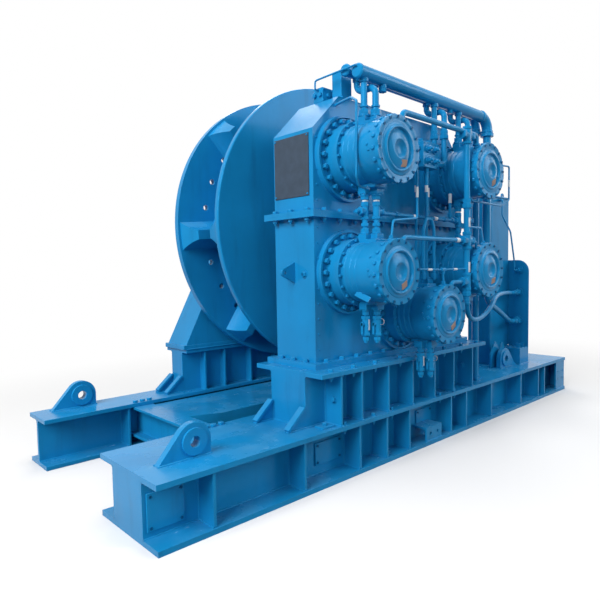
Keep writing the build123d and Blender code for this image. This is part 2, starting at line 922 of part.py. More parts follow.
def pinion(x, z):
    """Pinion cut in one with the shaft that runs in its gearbox."""
    half = pinion_face / 2
    teeth = gear_outline(pinion_teeth, pinion_addendum, pinion_phase(x, z))
    gear = along_y(Pos(x, z) * teeth, gear_middle - half, gear_middle + half)
    shaft_end_y = gearbox_back - pinion_bore_depth + seat_gap
    return gear + disc(x, z, pinion_shaft_radius, shaft_end_y, gear_middle + half)


def gearbox(x, z):
    """Planetary gearbox: a flange in the case's boss, a round housing and the pinion's bore."""
    bore = pinion_shaft_radius + shaft_running_gap
    flange = boss_radius - boss_rim - seat_gap
    flange_front = gearbox_back - gearbox_flange
    bore_end = gearbox_back - pinion_bore_depth
    body = turned(
        (bore, gearbox_back),
        (flange, gearbox_back),
        (flange, flange_front),
        (gearbox_radius, flange_front),
        (gearbox_radius, gearbox_front),
        (0, gearbox_front),
        (0, bore_end),
        (bore, bore_end),
    )
    return Pos(x, 0, z) * body


def gearbox_bolts():
    """Bolts round the flange of every gearbox."""
    front = gearbox_back - gearbox_flange
    heads = []
    for x, z in drives:
        for place in PolarLocations(gearbox_bolt_circle, gearbox_bolt_count):
            shape = Pos(x, z) * place * hexagon(gearbox_bolt_flats)
            heads.append(along_y(shape, front - gearbox_bolt_height, front))
    return heads


def motor(x, z):
    """Radial piston motor: neck, waist, slotted collar, end ring and two port blocks."""
    body = turned(
        (0, gearbox_front),
        (motor_neck_radius, gearbox_front),
        (motor_neck_radius, gearbox_front - motor_neck_length),
        (motor_waist_radius, gearbox_front - motor_neck_length),
        (motor_waist_radius, motor_collar_y),
        (motor_collar_radius, motor_collar_y),
        (motor_collar_radius, motor_ring_y),
        (motor_ring_radius, motor_ring_y),
        (motor_ring_radius, motor_front),
        (cover_seat_radius, motor_front),
        (cover_seat_radius, cover_back),
        (0, cover_back),
    )
    slot = along_y(
        Pos(motor_collar_radius, 0) * Rectangle(2 * collar_slot_depth, collar_slot_width),
        motor_ring_y,
        motor_ring_y + collar_slot_length,
    )
    turn = 360 / collar_slot_count
    body -= [Rot(0, turn * (step + 0.5), 0) * slot for step in range(collar_slot_count)]
    ports_y = gearbox_front - port_block_setback
    ports_x = (port_block_shift - port_block_width / 2, port_block_shift + port_block_width / 2)
    body += block(ports_x, (ports_y - port_block_length, ports_y), (-port_reach, port_reach)) - disc(
        0, 0, motor_neck_radius / 2, ports_y - port_block_length, ports_y
    )
    return Pos(x, 0, z) * body


def motor_cover(x, z):
    """End cover with a raised rim and a shallow bowl."""
    edge = cover_seat_radius - seat_gap
    face = cover_back - cover_thickness
    rim = face - cover_rim_height
    cover = turned(
        (0, cover_back),
        (edge, cover_back),
        (edge, face),
        (cover_rim_radius, face),
        (cover_rim_radius, rim),
        (cover_rim_radius - cover_rim_width, rim),
        (cover_rim_radius - cover_rim_width, face),
        (cover_bowl_radius, face),
        (cover_bowl_radius / 2, face + cover_bowl_depth),
        (0, face + cover_bowl_depth),
    )
    return Pos(x, 0, z) * cover


def fed_ports():
    """X and height of the upper port blocks, which the headers feed."""
    return [(x, z + port_reach) for x, z in (drives[0], drives[3])]


def manifold_feeds(shift):
    """X of a header's leg to the manifold, and the level at which it turns into the manifold's end."""
    rise = manifold_feed_rises[1] if shift else manifold_feed_rises[0]
    return manifold_end + manifold_feed_reach + shift, manifold_bottom + rise


def header(start, y, z, radius, leg, foot):
    """Level pipe that turns down at its rear end, with a collared reducer to a thinner leg."""
    x = drives[3][0] + header_leg_shift
    drop = z - reducer_drop
    pipe = tube([(start, y, z), (x, y, z), (x, y, drop)], radius, header_bend)
    pipe += Pos(x, y, drop) * Cylinder(radius + reducer_lip, reducer_height)
    return pipe + tube([(x, y, drop), (x, y, foot)], leg, leg_bend)


def pressure_header():
    """Front pipe with legs to the upper port blocks and the manifold, and one down to its hose."""
    y = gearbox_front - pressure_port_depth
    z = case_top + header_clearance
    start = drives[0][0] - header_end
    pipe = header(start, y, z, header_radius, pressure_leg_radius, pressure_leg_foot)
    pipe += [tube([(x, y, z), (x, y, top)], leg_radius, leg_bend) for x, top in fed_ports()]
    x, level = manifold_feeds(0)
    return pipe + tube([(x, y, z), (x, y, level), (manifold_end, y, level)], leg_radius, leg_bend)


def return_header():
    """Rear pipe that stands on the beam. Its legs pass under the front pipe to the second ports."""
    y = case_front - return_header_setback
    z = case_top + return_header_rise
    start = drives[0][0] - header_end
    pipe = header(start, y, z, return_header_radius, return_leg_radius, beam_height)
    leg_x = drives[3][0] + header_leg_shift
    pipe += block(
        (leg_x - return_leg_radius, leg_x + return_foot_reach),
        (y - return_foot_width / 2, y + return_foot_width / 2),
        (beam_height, beam_height + return_foot_plate),
    )
    port_y = gearbox_front - return_port_depth
    pass_z = case_top + header_clearance - header_radius - 2 * leg_radius
    feed_x, level = manifold_feeds(return_port_shift)
    ends = [(x + return_port_shift, [(x + return_port_shift, port_y, top)]) for x, top in fed_ports()]
    ends.append((feed_x, [(feed_x, port_y, level), (manifold_end, port_y, level)]))
    for x, end in ends:
        route = [(x, y, z), (x, y, pass_z), (x, port_y, pass_z)] + end
        pipe += tube(route, leg_radius, leg_bend)
    return pipe


def link_pipes():
    """Pipes between the ports: upright ones and a level one that meets those of the pressure side."""
    pressure_y = gearbox_front - pressure_port_depth
    return_y = gearbox_front - return_port_depth
    runs = []
    for upper, lower in ((drives[0], drives[1]), (drives[3], drives[4])):
        runs.append((upper[0], lower[1] + port_reach, upper[1] - port_reach, link_radius))
    runs.append((drives[2][0], drives[2][1] + port_reach, manifold_bottom, feed_radius))
    upright, level = [], (drives[0][0] - cross_pipe_end, drives[3][0])
    cross_z = axis_height + cross_pipe_rise
    cross = tube([(x, pressure_y, cross_z) for x in level], cross_pipe_radius, leg_bend)
    for x, low, high, radius in runs:
        for shift, y in ((0, pressure_y), (return_port_shift, return_y)):
            upright.append(tube([(x + shift, y, low), (x + shift, y, high)], radius, leg_bend))
        cross -= tube([(x, pressure_y, low), (x, pressure_y, high)], radius + seat_gap, leg_bend)
    return upright + list(cross.solids())


def drain_riser():
    """Upright drain pipe with a branch to the collar of each motor."""
    x = wheel_x + riser_shift
    y = case_front - riser_setback
    drop = sqrt(motor_collar_radius**2 - branch_shift**2)
    levels = [height + motor_collar_radius + rise for (_, height), rise in zip(drives, riser_branch_rises)]
    pipe = tube([(x, y, riser_foot), (x, y, max(levels))], riser_radius, riser_bend)
    pipe += Pos(x, y, max(levels)) * Sphere(riser_radius)
    for (drive_mid, height), level, radius in zip(drives, levels, riser_branch_radii):
        side = 1 if drive_mid < x else -1
        end = drive_mid + side * branch_shift
        route = [(x, y, level), (end, y, level), (end, y, height + drop - radius)]
        pipe += tube(route, radius, riser_bend)
    for drive_mid, height in drives:
        pipe -= disc(drive_mid, height, motor_collar_radius + seat_gap, motor_ring_y, motor_collar_y)
    return pipe


def bulkhead():
    """Upright connector plate with one round corner on a base box that is open below."""
    y = (bulkhead_y, tank_y - bulkhead_base_clearance)
    base_top = beam_height + bulkhead_base_height
    back = bulkhead_place + bulkhead_plate
    front = back - bulkhead_base_length
    wall = bulkhead_base_wall
    base = block((front, back), y, (beam_height, base_top))
    base -= block((front + wall, back - wall), (y[0] + wall, y[1] - wall), (beam_height, base_top - wall))
    height = bulkhead_top - base_top
    sheet = Pos(bulkhead_y + bulkhead_width / 2, base_top + height / 2) * Rectangle(bulkhead_width, height)
    corner = sheet.vertices().sort_by(Axis.X)[:2].sort_by(Axis.Y)[-1]
    return base + along_x(fillet(corner, bulkhead_corner), bulkhead_place, back)


def fittings():
    """Hose fittings on the bulkhead's front face."""
    return [
        along_x(Pos(hose_end_y, z) * hexagon(2 * fitting_radius), hose_end_x, bulkhead_place)
        for z in (return_fitting_height, pressure_fitting_height)
    ]


def hose(points, radius):
    """Flexible hose: each bend is as wide as its two runs allow."""
    corners = [Vector(*point) for point in points]
    radii = []
    for before, corner, after in zip(corners, corners[1:], corners[2:]):
        turn = (corner - before).get_angle(after - corner)
        run = min((corner - before).length, (after - corner).length)
        radii.append(hose_bend_share * run / tan(radians(turn) / 2))
    path = FilletPolyline(*points, radius=radii)
    return sweep(Plane(origin=path @ 0, z_dir=path % 0) * Circle(radius), path)


def held_hose(start, end, shares, bows, rises, radius):
    """Hose from a pipe's foot to a bulkhead fitting, bowed outward and up or down at each bend."""
    first = Vector(*start) - Vector(0, 0, hose_drop)
    last = Vector(*end) - Vector(hose_lead, 0, 0)
    points = [start, tuple(first)]
    for share, bow, rise in zip(shares, bows, rises):
        points.append(tuple(first + (last - first) * share + Vector(0, -bow, rise)))
    return hose(points + [tuple(last), end], radius)


def return_hose():
    """Hose from the foot of the drain riser, through a low bow, to the bulkhead."""
    start = (wheel_x + riser_shift, case_front - riser_setback, riser_foot)
    end = (hose_end_x, hose_end_y, return_fitting_height)
    return held_hose(
        start, end, return_hose_shares, return_hose_bows, return_hose_rises, return_hose_radius
    )


def pressure_hose():
    """Hose from the foot of the pressure leg to the bulkhead."""
    start = (drives[3][0] + header_leg_shift, gearbox_front - pressure_port_depth, pressure_leg_foot)
    end = (hose_end_x, hose_end_y, pressure_fitting_height)
    return held_hose(
        start, end, pressure_hose_shares, pressure_hose_bows, pressure_hose_rises, pressure_hose_radius
    )


def oil_tank():
    """Tall closed oil tank in front of the bulkhead."""
    low_x = bulkhead_place - tank_length
    y = (tank_y, tank_y + tank_width)
    shell = block((low_x, low_x + tank_length), y, (beam_height, tank_top))
    shell = fillet(shell.edges().filter_by(Axis.Z), tank_edge)
    hollow = block(
        (low_x + tank_wall, low_x + tank_length - tank_wall),
        (y[0] + tank_wall, y[1] - tank_wall),
        (beam_height + tank_wall, tank_top),
    )
    return shell - fillet(hollow.edges().filter_by(Axis.Z), tank_edge - tank_wall)


def tank_lid():
    """Lid of the oil tank with a filler cap."""
    y = tank_y + tank_width / 2
    x = bulkhead_place - tank_length / 2
    grow = 2 * tank_lid_overhang
    shape = RectangleRounded(tank_length + grow, tank_width + grow, tank_edge + tank_lid_overhang)
    plate = Pos(x, y, tank_top) * extrude(shape, amount=tank_lid_plate)
    cap_z = tank_top + tank_lid_plate + tank_cap_height / 2
    return plate + Pos(x, y, cap_z) * Cylinder(tank_cap_radius, tank_cap_height)


def valve_blocks():
    """Two valve blocks on the top plate of the gear case and the manifold above the lowest motor."""
    x = wheel_x - case_half_width + case_chamfer
    y = case_front + case_depth / 2
    low = block(
        (x, x + valve_block_length),
        (y - valve_block_width / 2, y + valve_block_width / 2),
        (case_top, case_top + low_valve_block),
    )
    front = case_front + case_wall
    high = block(
        (x + valve_block_length / 2, x + 3 * valve_block_length / 2),
        (front, front + valve_block_width),
        (case_top, case_top + high_valve_block),
    )
    feed_x = drives[2][0] - manifold_setback
    feed_y = gearbox_front - return_port_depth - manifold_setback
    manifold = block(
        (feed_x, feed_x + manifold_length),
        (feed_y, feed_y + manifold_width),
        (manifold_bottom, manifold_bottom + manifold_height),
    )
    return [low, high, manifold]


def motor_valves():
    """Shut-off valves under the lower port blocks of motors two and three."""
    profile = outline(
        (0, 0),
        (valve_neck_radius, 0),
        (valve_neck_radius, -valve_neck_height),
        (valve_radius, -valve_neck_height),
        (valve_radius, -valve_neck_height - valve_height),
        (valve_neck_radius, -valve_neck_height - valve_height),
        (valve_neck_radius, -valve_neck_height - valve_height - valve_tail_height),
        (0, -valve_neck_height - valve_height - valve_tail_height),
    )
    valve = revolve(Plane.XZ * profile, Axis.Z)
    (upper_x, upper_z), (lowest_x, lowest_z) = drives[1:3]
    places = [
        (upper_x, upper_z, pressure_port_depth),
        (upper_x + return_port_shift, upper_z, return_port_depth),
    ]
    for shift, depth in zip((0, return_port_shift), lowest_valve_depths):
        places.append((lowest_x - lowest_valve_shift + shift, lowest_z, depth))
    return [Pos(x, gearbox_front - depth, z - port_reach) * valve for x, z, depth in places]


def build():
    """Every node of the machine by name."""
    lower_case, upper_case = case_halves()
    near_whelps, far_whelps = whelps()
    near_webs = [near_edge + web_inset + box_plate / 2, near_beam_inner - web_inset - box_plate / 2]
    far_webs = [far_beam_y - far_web_spacing / 2, far_beam_y + far_web_spacing / 2]
    nodes = {
        "near_beam": near_beam(),
        "far_beam": far_beam(),
        "deck_box": deck_box(),
        "near_padeyes": [padeye(side, near_edge + padeye_near_setback) for side in (-1, 1)],
        "far_padeyes": [padeye(side, far_edge - padeye_far_setback) for side in (-1, 1)],
        "web_covers": web_covers(),
        "near_pedestal": pedestal(near_beam_y, near_beam_width, near_webs),
        "far_pedestal": pedestal(far_beam_y, far_beam_width, far_webs),
        "lower_gear_case": lower_case,
        "upper_gear_case": upper_case,
        "flange_bolts": flange_bolts(),
        "case_bearings": [bearing(limits) for limits in bull_bearing_places()],
        "far_main_bearing": bearing(far_bearing_limits()),
        "far_bearing_frame": bearing_frame(),
        "far_bearing_cap": bearing_cap(),
        "far_end_cover": end_cover(),
        "cap_bolts": cap_bolts(),
        "main_shaft": main_shaft(),
        "bull_gear": bull_gear(),
        "hub_drum": hub_drum(),
        "near_wheel_flange": wheel_flange(near_flange_y, []),
        "far_wheel_flange": wheel_flange(chain_far, far_flange_holes()),
        "near_whelps": near_whelps,
        "far_whelps": far_whelps,
        "gearbox_bolts": gearbox_bolts(),
        "pressure_header": pressure_header(),
        "return_header": return_header(),
        "link_pipes": link_pipes(),
        "drain_riser": drain_riser(),
        "bulkhead": bulkhead(),
        "bulkhead_fittings": fittings(),
        "return_hose": return_hose(),
        "pressure_hose": pressure_hose(),
        "oil_tank": oil_tank(),
        "oil_tank_lid": tank_lid(),
        "valve_blocks": valve_blocks(),
        "motor_valves": motor_valves(),
    }
    for name, x in zip(("front", "middle", "rear"), member_places()):
        nodes[f"{name}_cross_member"] = cross_member(x)
    for number, (x, z) in enumerate(drives, start=1):
        nodes[f"pinion_{number}"] = pinion(x, z)
        nodes[f"gearbox_{number}"] = gearbox(x, z)
        nodes[f"motor_{number}"] = motor(x, z)
        nodes[f"motor_cover_{number}"] = motor_cover(x, z)
    return nodes


os.makedirs("parts", exist_ok=True)
for node, solids in build().items():
    save(solids, node)
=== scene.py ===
"""Dresses the skid-mounted chain hauler: paint, rounded edges, welds, fasteners, fittings and a stage."""

import json
import math

import bmesh
import bpy
from bpy.props import FloatProperty, FloatVectorProperty, IntProperty, PointerProperty
from mathutils import Matrix, Vector, noise


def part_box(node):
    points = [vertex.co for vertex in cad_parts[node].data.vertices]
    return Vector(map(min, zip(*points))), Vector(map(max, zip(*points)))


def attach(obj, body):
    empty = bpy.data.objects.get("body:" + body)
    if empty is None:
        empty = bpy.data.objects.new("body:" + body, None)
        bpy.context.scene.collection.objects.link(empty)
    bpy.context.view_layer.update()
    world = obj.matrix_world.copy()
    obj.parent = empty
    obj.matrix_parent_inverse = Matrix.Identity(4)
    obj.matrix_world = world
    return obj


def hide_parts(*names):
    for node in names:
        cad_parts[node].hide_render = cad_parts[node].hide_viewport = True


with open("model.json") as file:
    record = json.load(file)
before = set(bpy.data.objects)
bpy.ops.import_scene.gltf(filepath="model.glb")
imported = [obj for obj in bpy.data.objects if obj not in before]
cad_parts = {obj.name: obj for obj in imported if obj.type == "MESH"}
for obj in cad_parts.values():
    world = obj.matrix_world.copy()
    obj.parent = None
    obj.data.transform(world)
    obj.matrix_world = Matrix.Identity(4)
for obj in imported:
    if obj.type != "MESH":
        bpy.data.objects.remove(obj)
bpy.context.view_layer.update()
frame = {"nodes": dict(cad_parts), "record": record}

bl_info = {
    "name": "Chain hauler dressing",
    "version": (1, 0, 0),
    "blender": (4, 5, 0),
    "location": "3D View > Sidebar > Hauler",
    "description": "Finishes, welds, fasteners and fittings for a skid-mounted chain hauler",
    "category": "Object",
}


def node_middle(node):
    """The middle of a CAD node's box."""
    low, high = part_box(node)
    return (low + high) / 2


# Places in metres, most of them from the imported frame
DRIVES = [node_middle(f"motor_cover_{n}") for n in range(1, 6)]
GEARBOX_FRONT, GEARBOX_BACK = (corner.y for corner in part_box("gearbox_1"))
FLANGE_FRONT = GEARBOX_BACK - 0.025
CASE_FRONT = GEARBOX_BACK + 0.009
MOTOR_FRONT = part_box("motor_1")[0].y
COVER_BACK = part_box("motor_cover_1")[1].y
PORT_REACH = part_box("motor_1")[1].z - DRIVES[0].z
CASE_LEFT = -1.506
CASE_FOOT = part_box("near_pedestal")[1].z + 0.048
SPLIT_LEVEL = node_middle("main_shaft").z
BEAM_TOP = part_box("near_beam")[1].z
HEADER_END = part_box("pressure_header")[0].x
HEADER_BEND = 0.87965
CROSS_LEVEL = 2.178
BULKHEAD_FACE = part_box("bulkhead_fittings")[1].x

# Pressure and return ports on each port block and under drive 3, from the drive's axis and the gearbox front
PORTS = ((0.0, -0.048), (0.065, -0.115))
LOW_PORTS = ((-0.040, -0.120), (0.025, -0.182))
PRESSURE_Y = GEARBOX_FRONT + PORTS[0][1]
RISER = Vector((-0.003, -1.466, 0.0))

# Turned outlines as (radius, height) above the gearbox front, the cover's seat, the flange and the case front
MOTOR_OUTLINE = (
    (0.0, 0.0), (0.250, 0.0), (0.250, 0.026), (0.2485, 0.030), (0.2455, 0.034), (0.2450, 0.040),
    (0.2450, 0.078), (0.2435, 0.083), (0.2405, 0.087), (0.2400, 0.093), (0.2400, 0.128), (0.2385, 0.133),
    (0.2355, 0.137), (0.2350, 0.143), (0.2350, 0.168), (0.2460, 0.1685), (0.2480, 0.172), (0.2480, 0.290),
    (0.2490, 0.310), (0.2515, 0.332), (0.254, 0.350), (0.2545, 0.371), (0.260, 0.373), (0.264, 0.376),
    (0.264, 0.399), (0.261, 0.403), (0.238, 0.403), (0.226, 0.398), (0.205, 0.398), (0.205, 0.360),
    (0.0, 0.360),
)
COVER_OUTLINE = (
    (0.0, -0.034), (0.2045, -0.034), (0.2045, 0.003), (0.2020, 0.006), (0.1830, 0.0095), (0.1790, 0.0125),
    (0.1760, 0.0180), (0.1720, 0.0220), (0.1660, 0.0235), (0.1605, 0.0215), (0.1565, 0.0160),
    (0.1540, 0.0070), (0.1510, 0.0020), (0.1470, 0.0030), (0.1400, 0.0066), (0.1250, 0.0116),
    (0.1100, 0.0160), (0.0950, 0.0197), (0.0830, 0.0222), (0.0760, 0.0231), (0.0710, 0.0225),
    (0.0660, 0.0190), (0.0580, 0.0105), (0.0440, 0.0020), (0.0240, -0.0020), (0.0, -0.0030),
)
SHROUD_OUTLINE = (
    (0.272, 0.0), (0.281, 0.0), (0.2805, 0.030), (0.279, 0.070), (0.2775, 0.104), (0.2795, 0.108),
    (0.284, 0.110), (0.284, 0.135), (0.282, 0.137), (0.272, 0.137), (0.272, 0.0),
)
FILLET_OUTLINE = ((0.345, 0.0), (0.360, 0.0), (0.354, 0.004), (0.351, 0.010), (0.345, 0.010), (0.345, 0.0))
ROUND_STEPS = 96

# Scallops at the screws of the motors' end rings: from what radius, how deep, and how far turned
SCALLOP_RADIUS, SCALLOP_DEPTH, SCALLOP_TURN = 0.2585, 0.008, math.tau * 0.17

# Straight ends of the hoses, bends of the tubes, and how far bolts and screws are sunk
HOSE_DROP, HOSE_LEAD, TUBE_BEND = 0.170, 0.180, 0.05
BOLT_SUNK, SCREW_SUNK = 0.004, 0.003

# Weld beads: the ripples' spacing, depth and fineness, radius and offset per leg, and shortest lengths
RIPPLE_SPACING, RIPPLE_DEPTH, RIPPLE_FINENESS = 0.035, 0.28, 60.0
BEAD_RADIUS, BEAD_OFFSET = 0.62, 0.2
SHORTEST_CORNER, SHORTEST_FOOT = 0.05, 0.02

# Floor: half its width, and where it fades to white
FLOOR_REACH, FADE_START, FADE_END = 60.0, 2.2, 6.5

# Angles between faces: merged as flat, rounded, welded, and where smooth shading breaks
FLAT, SHARP, CORNER = math.radians(0.4), math.radians(40.0), math.radians(50.0)
SOFT, NODE_SOFT, WELD_SOFT = math.radians(38.0), math.radians(50.0), math.radians(80.0)

MERGE = 1e-5
HEX = 1.0 / math.sqrt(3.0)
DOWN, UP = Vector((0.0, 0.0, -1.0)), Vector((0.0, 0.0, 1.0))
FRONT, BACK = Vector((0.0, -1.0, 0.0)), Vector((0.0, 1.0, 0.0))
LEFT, RIGHT = Vector((-1.0, 0.0, 0.0)), Vector((1.0, 0.0, 0.0))


class Shade:
    """One output of a shader node. Arithmetic on it adds Math nodes beside it."""

    def __init__(self, shader, socket):
        self.shader, self.socket = shader, socket

    def _sum(self, operation, first, second):
        return self.shader.node("ShaderNodeMath", {"operation": operation}, {0: first, 1: second})

    def __add__(self, other):
        return self._sum("ADD", self, other)

    def __radd__(self, other):
        return self._sum("ADD", other, self)

    def __sub__(self, other):
        return self._sum("SUBTRACT", self, other)

    def __rsub__(self, other):
        return self._sum("SUBTRACT", other, self)

    def __mul__(self, other):
        return self._sum("MULTIPLY", self, other)

    def __rmul__(self, other):
        return self._sum("MULTIPLY", other, self)


class Shader:
    """A node tree being built, with one method that adds any node to it."""

    def __init__(self, tree):
        self.tree = tree
        self.tree.nodes.clear()

    def node(self, kind, settings=None, inputs=None, output=0):
        """Adds a node, sets it up, fills or links its sockets and returns one output, if it has any."""
        node = self.tree.nodes.new(kind)
        for name, value in (settings or {}).items():
            setattr(node, name, value)
        for name, value in (inputs or {}).items():
            if isinstance(value, Shade):
                self.tree.links.new(value.socket, node.inputs[name])
            else:
                node.inputs[name].default_value = value
        return Shade(self, node.outputs[output]) if node.outputs else None

    def place(self, stretch=(1.0, 1.0, 1.0)):
        """Object coordinates, stretched where a pattern runs one way."""
        place = self.node("ShaderNodeTexCoord", output="Object")
        return self.node("ShaderNodeMapping", inputs={"Vector": place, "Scale": stretch})

    def noise(self, scale, detail=4.0, stretch=(1.0, 1.0, 1.0)):
        """Cloudy noise from 0 to 1."""
        inputs = {"Vector": self.place(stretch), "Scale": scale, "Detail": detail, "Roughness": 0.55}
        return self.node("ShaderNodeTexNoise", inputs=inputs)

    def step(self, value, low, high):
        """Smooth rise from 0 at low to 1 at high."""
        settings = {"interpolation_type": "SMOOTHSTEP"}
        inputs = {"Value": value, "From Min": low, "From Max": high}
        return self.node("ShaderNodeMapRange", settings, inputs)

    def mix(self, amount, first, second):
        """Blend of two colours."""
        return self.node("ShaderNodeMix", {"data_type": "RGBA"}, {0: amount, 6: first, 7: second}, output=2)

    def upward(self):
        """How far a surface faces up, from 0 to 1."""
        normal = self.node("ShaderNodeNewGeometry", output="Normal")
        height = self.node("ShaderNodeSeparateXYZ", inputs={0: normal}, output="Z")
        return self.step(height, 0.35, 0.95)

    def bump(self, height, distance, under=None):
        """Relief of a named depth in metres, on top of the relief under it."""
        inputs = {"Height": height, "Distance": distance, "Strength": 1.0}
        if under:
            inputs["Normal"] = under
        return self.node("ShaderNodeBump", inputs=inputs)

    def surface(self, sockets):
        """Closes the tree with a Principled surface."""
        shader = self.node("ShaderNodeBsdfPrincipled", inputs=sockets)
        self.node("ShaderNodeOutputMaterial", inputs={"Surface": shader})


def rgba(colour, level=1.0):
    """A colour with full alpha, lighter or darker by a level."""
    return (colour[0] * level, colour[1] * level, colour[2] * level, 1.0)


def new_finish(name):
    """The shader of a new, empty material."""
    material = bpy.data.materials.new(name)
    material.use_nodes = True
    return Shader(material.node_tree)


def paint_finish(paint, name, grain, grain_depth, wave_depth, wear, shine):
    """Gloss paint: an uneven coat, runs of grime, dust and rubs on level faces, a fine skin."""
    shader = new_finish(name)
    coat = shader.step(shader.noise(1.7, 5.0), 0.3, 0.7)
    runs = shader.step(shader.noise(4.0, 5.0, (2.2, 2.2, 0.35)), 0.50, 0.80)
    level = shader.upward()
    dust = level * shader.step(shader.noise(3.1, 6.0), 0.35, 0.8) * min(1.0, 0.4 + wear)
    rubs = level * shader.step(shader.noise(6.0, 8.0, (1.0, 1.8, 1.4)), 0.64, 0.82) * wear
    colour = shader.mix(coat, rgba(paint.paint_colour, 0.92), rgba(paint.paint_colour, 1.06))
    colour = shader.mix(runs * (1.0 - level) * 0.30, colour, rgba(paint.grime_colour))
    colour = shader.mix(dust * 0.20, colour, rgba(paint.dust_colour))
    colour = shader.mix(rubs * 0.45, colour, rgba(paint.dust_colour, 1.2))
    roughness = paint.gloss_roughness + (1.0 - shine) * 0.15 + coat * 0.08 + dust * 0.16 + rubs * 0.20
    skin = shader.bump(shader.noise(7.0, 2.0), wave_depth)
    skin = shader.bump(shader.noise(grain, 3.0), grain_depth, skin)
    shader.surface({
        "Base Color": colour,
        "Roughness": roughness,
        "Normal": skin,
        "Specular Tint": rgba(paint.sheen_colour),
        "Specular IOR Level": 0.21 * shine,
        "Coat Weight": 0.05 * shine,
        "Coat Roughness": 0.10,
    })


def steel_finish(paint, name, streak):
    """Machined steel with turning marks and a film of grease."""
    shader = new_finish(name)
    marks = shader.noise(45.0, 3.0, streak)
    grease = shader.step(shader.noise(6.0, 4.0), 0.45, 0.75)
    colour = shader.mix(marks, rgba(paint.steel_colour, 0.75), rgba(paint.steel_colour, 1.1))
    colour = shader.mix(grease * 0.6, colour, rgba(paint.grime_colour))
    shader.surface({
        "Base Color": colour,
        "Metallic": 1.0 - grease * 0.5,
        "Roughness": 0.30 + marks * 0.18 + grease * 0.12,
        "Normal": shader.bump(marks, 0.0002),
    })


def flat_finish(name, colour, roughness, speckle, sheen=(1.0, 1.0, 1.0)):
    """Thin printed or taped surface: slightly blotched, with a fine speckle."""
    shader = new_finish(name)
    blotch = shader.step(shader.noise(16.0, 5.0), 0.3, 0.75)
    fine = shader.noise(speckle, 2.0)
    tone = shader.mix(blotch, rgba(colour, 0.86), rgba(colour, 1.06))
    shader.surface({
        "Base Color": tone,
        "Roughness": roughness + fine * 0.12,
        "Specular IOR Level": 0.20,
        "Specular Tint": rgba(sheen),
        "Normal": shader.bump(fine, 0.0003),
    })


def finish(name):
    """A finish that has been mixed."""
    if name not in bpy.data.materials:
        raise RuntimeError(f"the finish {name} is missing: mix the finishes first")
    return bpy.data.materials[name]


def pointing(place, direction):
    """A matrix that stands a shape made along Z at a place, along a direction."""
    return Matrix.Translation(place) @ Vector(direction).to_track_quat("Z", "Y").to_matrix().to_4x4()


def shade_by_angle(bm, limit):
    """Smooth shading that breaks at edges sharper than a limit."""
    for face in bm.faces:
        face.smooth = True
    for edge in bm.edges:
        edge.smooth = edge.is_manifold and edge.calc_face_angle(0.0) < limit


def piece(name, bm, finish_name, limit=SOFT):
    """Turns a bmesh into a finished piece that rides on the skid."""
    bmesh.ops.remove_doubles(bm, verts=bm.verts, dist=MERGE)
    bmesh.ops.recalc_face_normals(bm, faces=bm.faces)
    return wrapped(name, bm, finish_name, "skid", limit)


def wrapped(name, bm, finish_name, body, limit):
    """Gives a closed bmesh its shading, object, finish, body and slot."""
    shade_by_angle(bm, limit)
    mesh = bpy.data.meshes.new(name)
    bm.to_mesh(mesh)
    bm.free()
    mesh.materials.append(finish(finish_name))
    made = bpy.data.objects.new(name, mesh)
    bpy.context.scene.collection.objects.link(made)
    even = made.modifiers.new("even_shading", "WEIGHTED_NORMAL")
    even.keep_sharp = True
    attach(made, body)
    return made


def merged_copy(node):
    """A CAD node's mesh as one closed bmesh with its flat faces whole."""
    bm = bmesh.new()
    bm.from_mesh(frame["nodes"][node].data)
    bmesh.ops.remove_doubles(bm, verts=bm.verts, dist=MERGE)
    bmesh.ops.dissolve_limit(bm, angle_limit=FLAT, verts=bm.verts, edges=bm.edges, delimit=set())
    return bm


def bevel_edges(bm, edges, width, segments=2):
    """Rounds edges by a width."""
    bmesh.ops.bevel(
        bm, geom=edges, offset=width, offset_type="OFFSET", segments=segments, profile=0.5,
        affect="EDGES", clamp_overlap=True, material=-1,
    )


def rounded_node(node, finish_name, width):
    """Stands in for a CAD node with the same shape and its sharp edges rounded."""
    body = next(name for name, nodes in frame["record"]["behaviour"]["bodies"].items() if node in nodes)
    bm = merged_copy(node)
    outer = [edge for edge in bm.edges if edge.is_manifold and edge.is_convex]
    bevel_edges(bm, [edge for edge in outer if edge.calc_face_angle() > SHARP], width)
    made = wrapped(f"{node}_finished", bm, finish_name, body, NODE_SOFT)
    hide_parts(node)


def bar(bm, start, direction, radius, length, sides=24, end_radius=None):
    """Round or many-sided bar from a place along a direction."""
    middle = Vector(start) + Vector(direction).normalized() * length / 2
    made = bmesh.ops.create_cone(
        bm, cap_ends=True, segments=sides, radius1=radius, radius2=end_radius or radius,
        depth=length, matrix=pointing(middle, direction),
    )
    return made["verts"]


def verts_in(items):
    """The vertices among the things that a mesh operator made."""
    return [item for item in items if isinstance(item, bmesh.types.BMVert)]


def edges_of(verts):
    """Every edge at the given vertices, once each and in a steady order."""
    return list(dict.fromkeys(edge for vert in verts for edge in vert.link_edges))


def share_along(edge, direction):
    """How far an edge runs along a direction, from 0 to 1."""
    run = edge.verts[0].co - edge.verts[1].co
    return abs(run.normalized().dot(Vector(direction).normalized()))


def collar(bm, start, direction, radius, length, sides=24, edge=0.003):
    """Round or many-sided bar with its two ends rounded."""
    made = edges_of(bar(bm, start, direction, radius, length, sides))
    bevel_edges(bm, [rim for rim in made if share_along(rim, direction) < 0.5], edge)


def hex_nut(bm, start, direction, flats, length):
    """Hexagonal nut or plug from a place along a direction."""
    collar(bm, start, direction, HEX * flats, length, 6, 0.07 * flats)


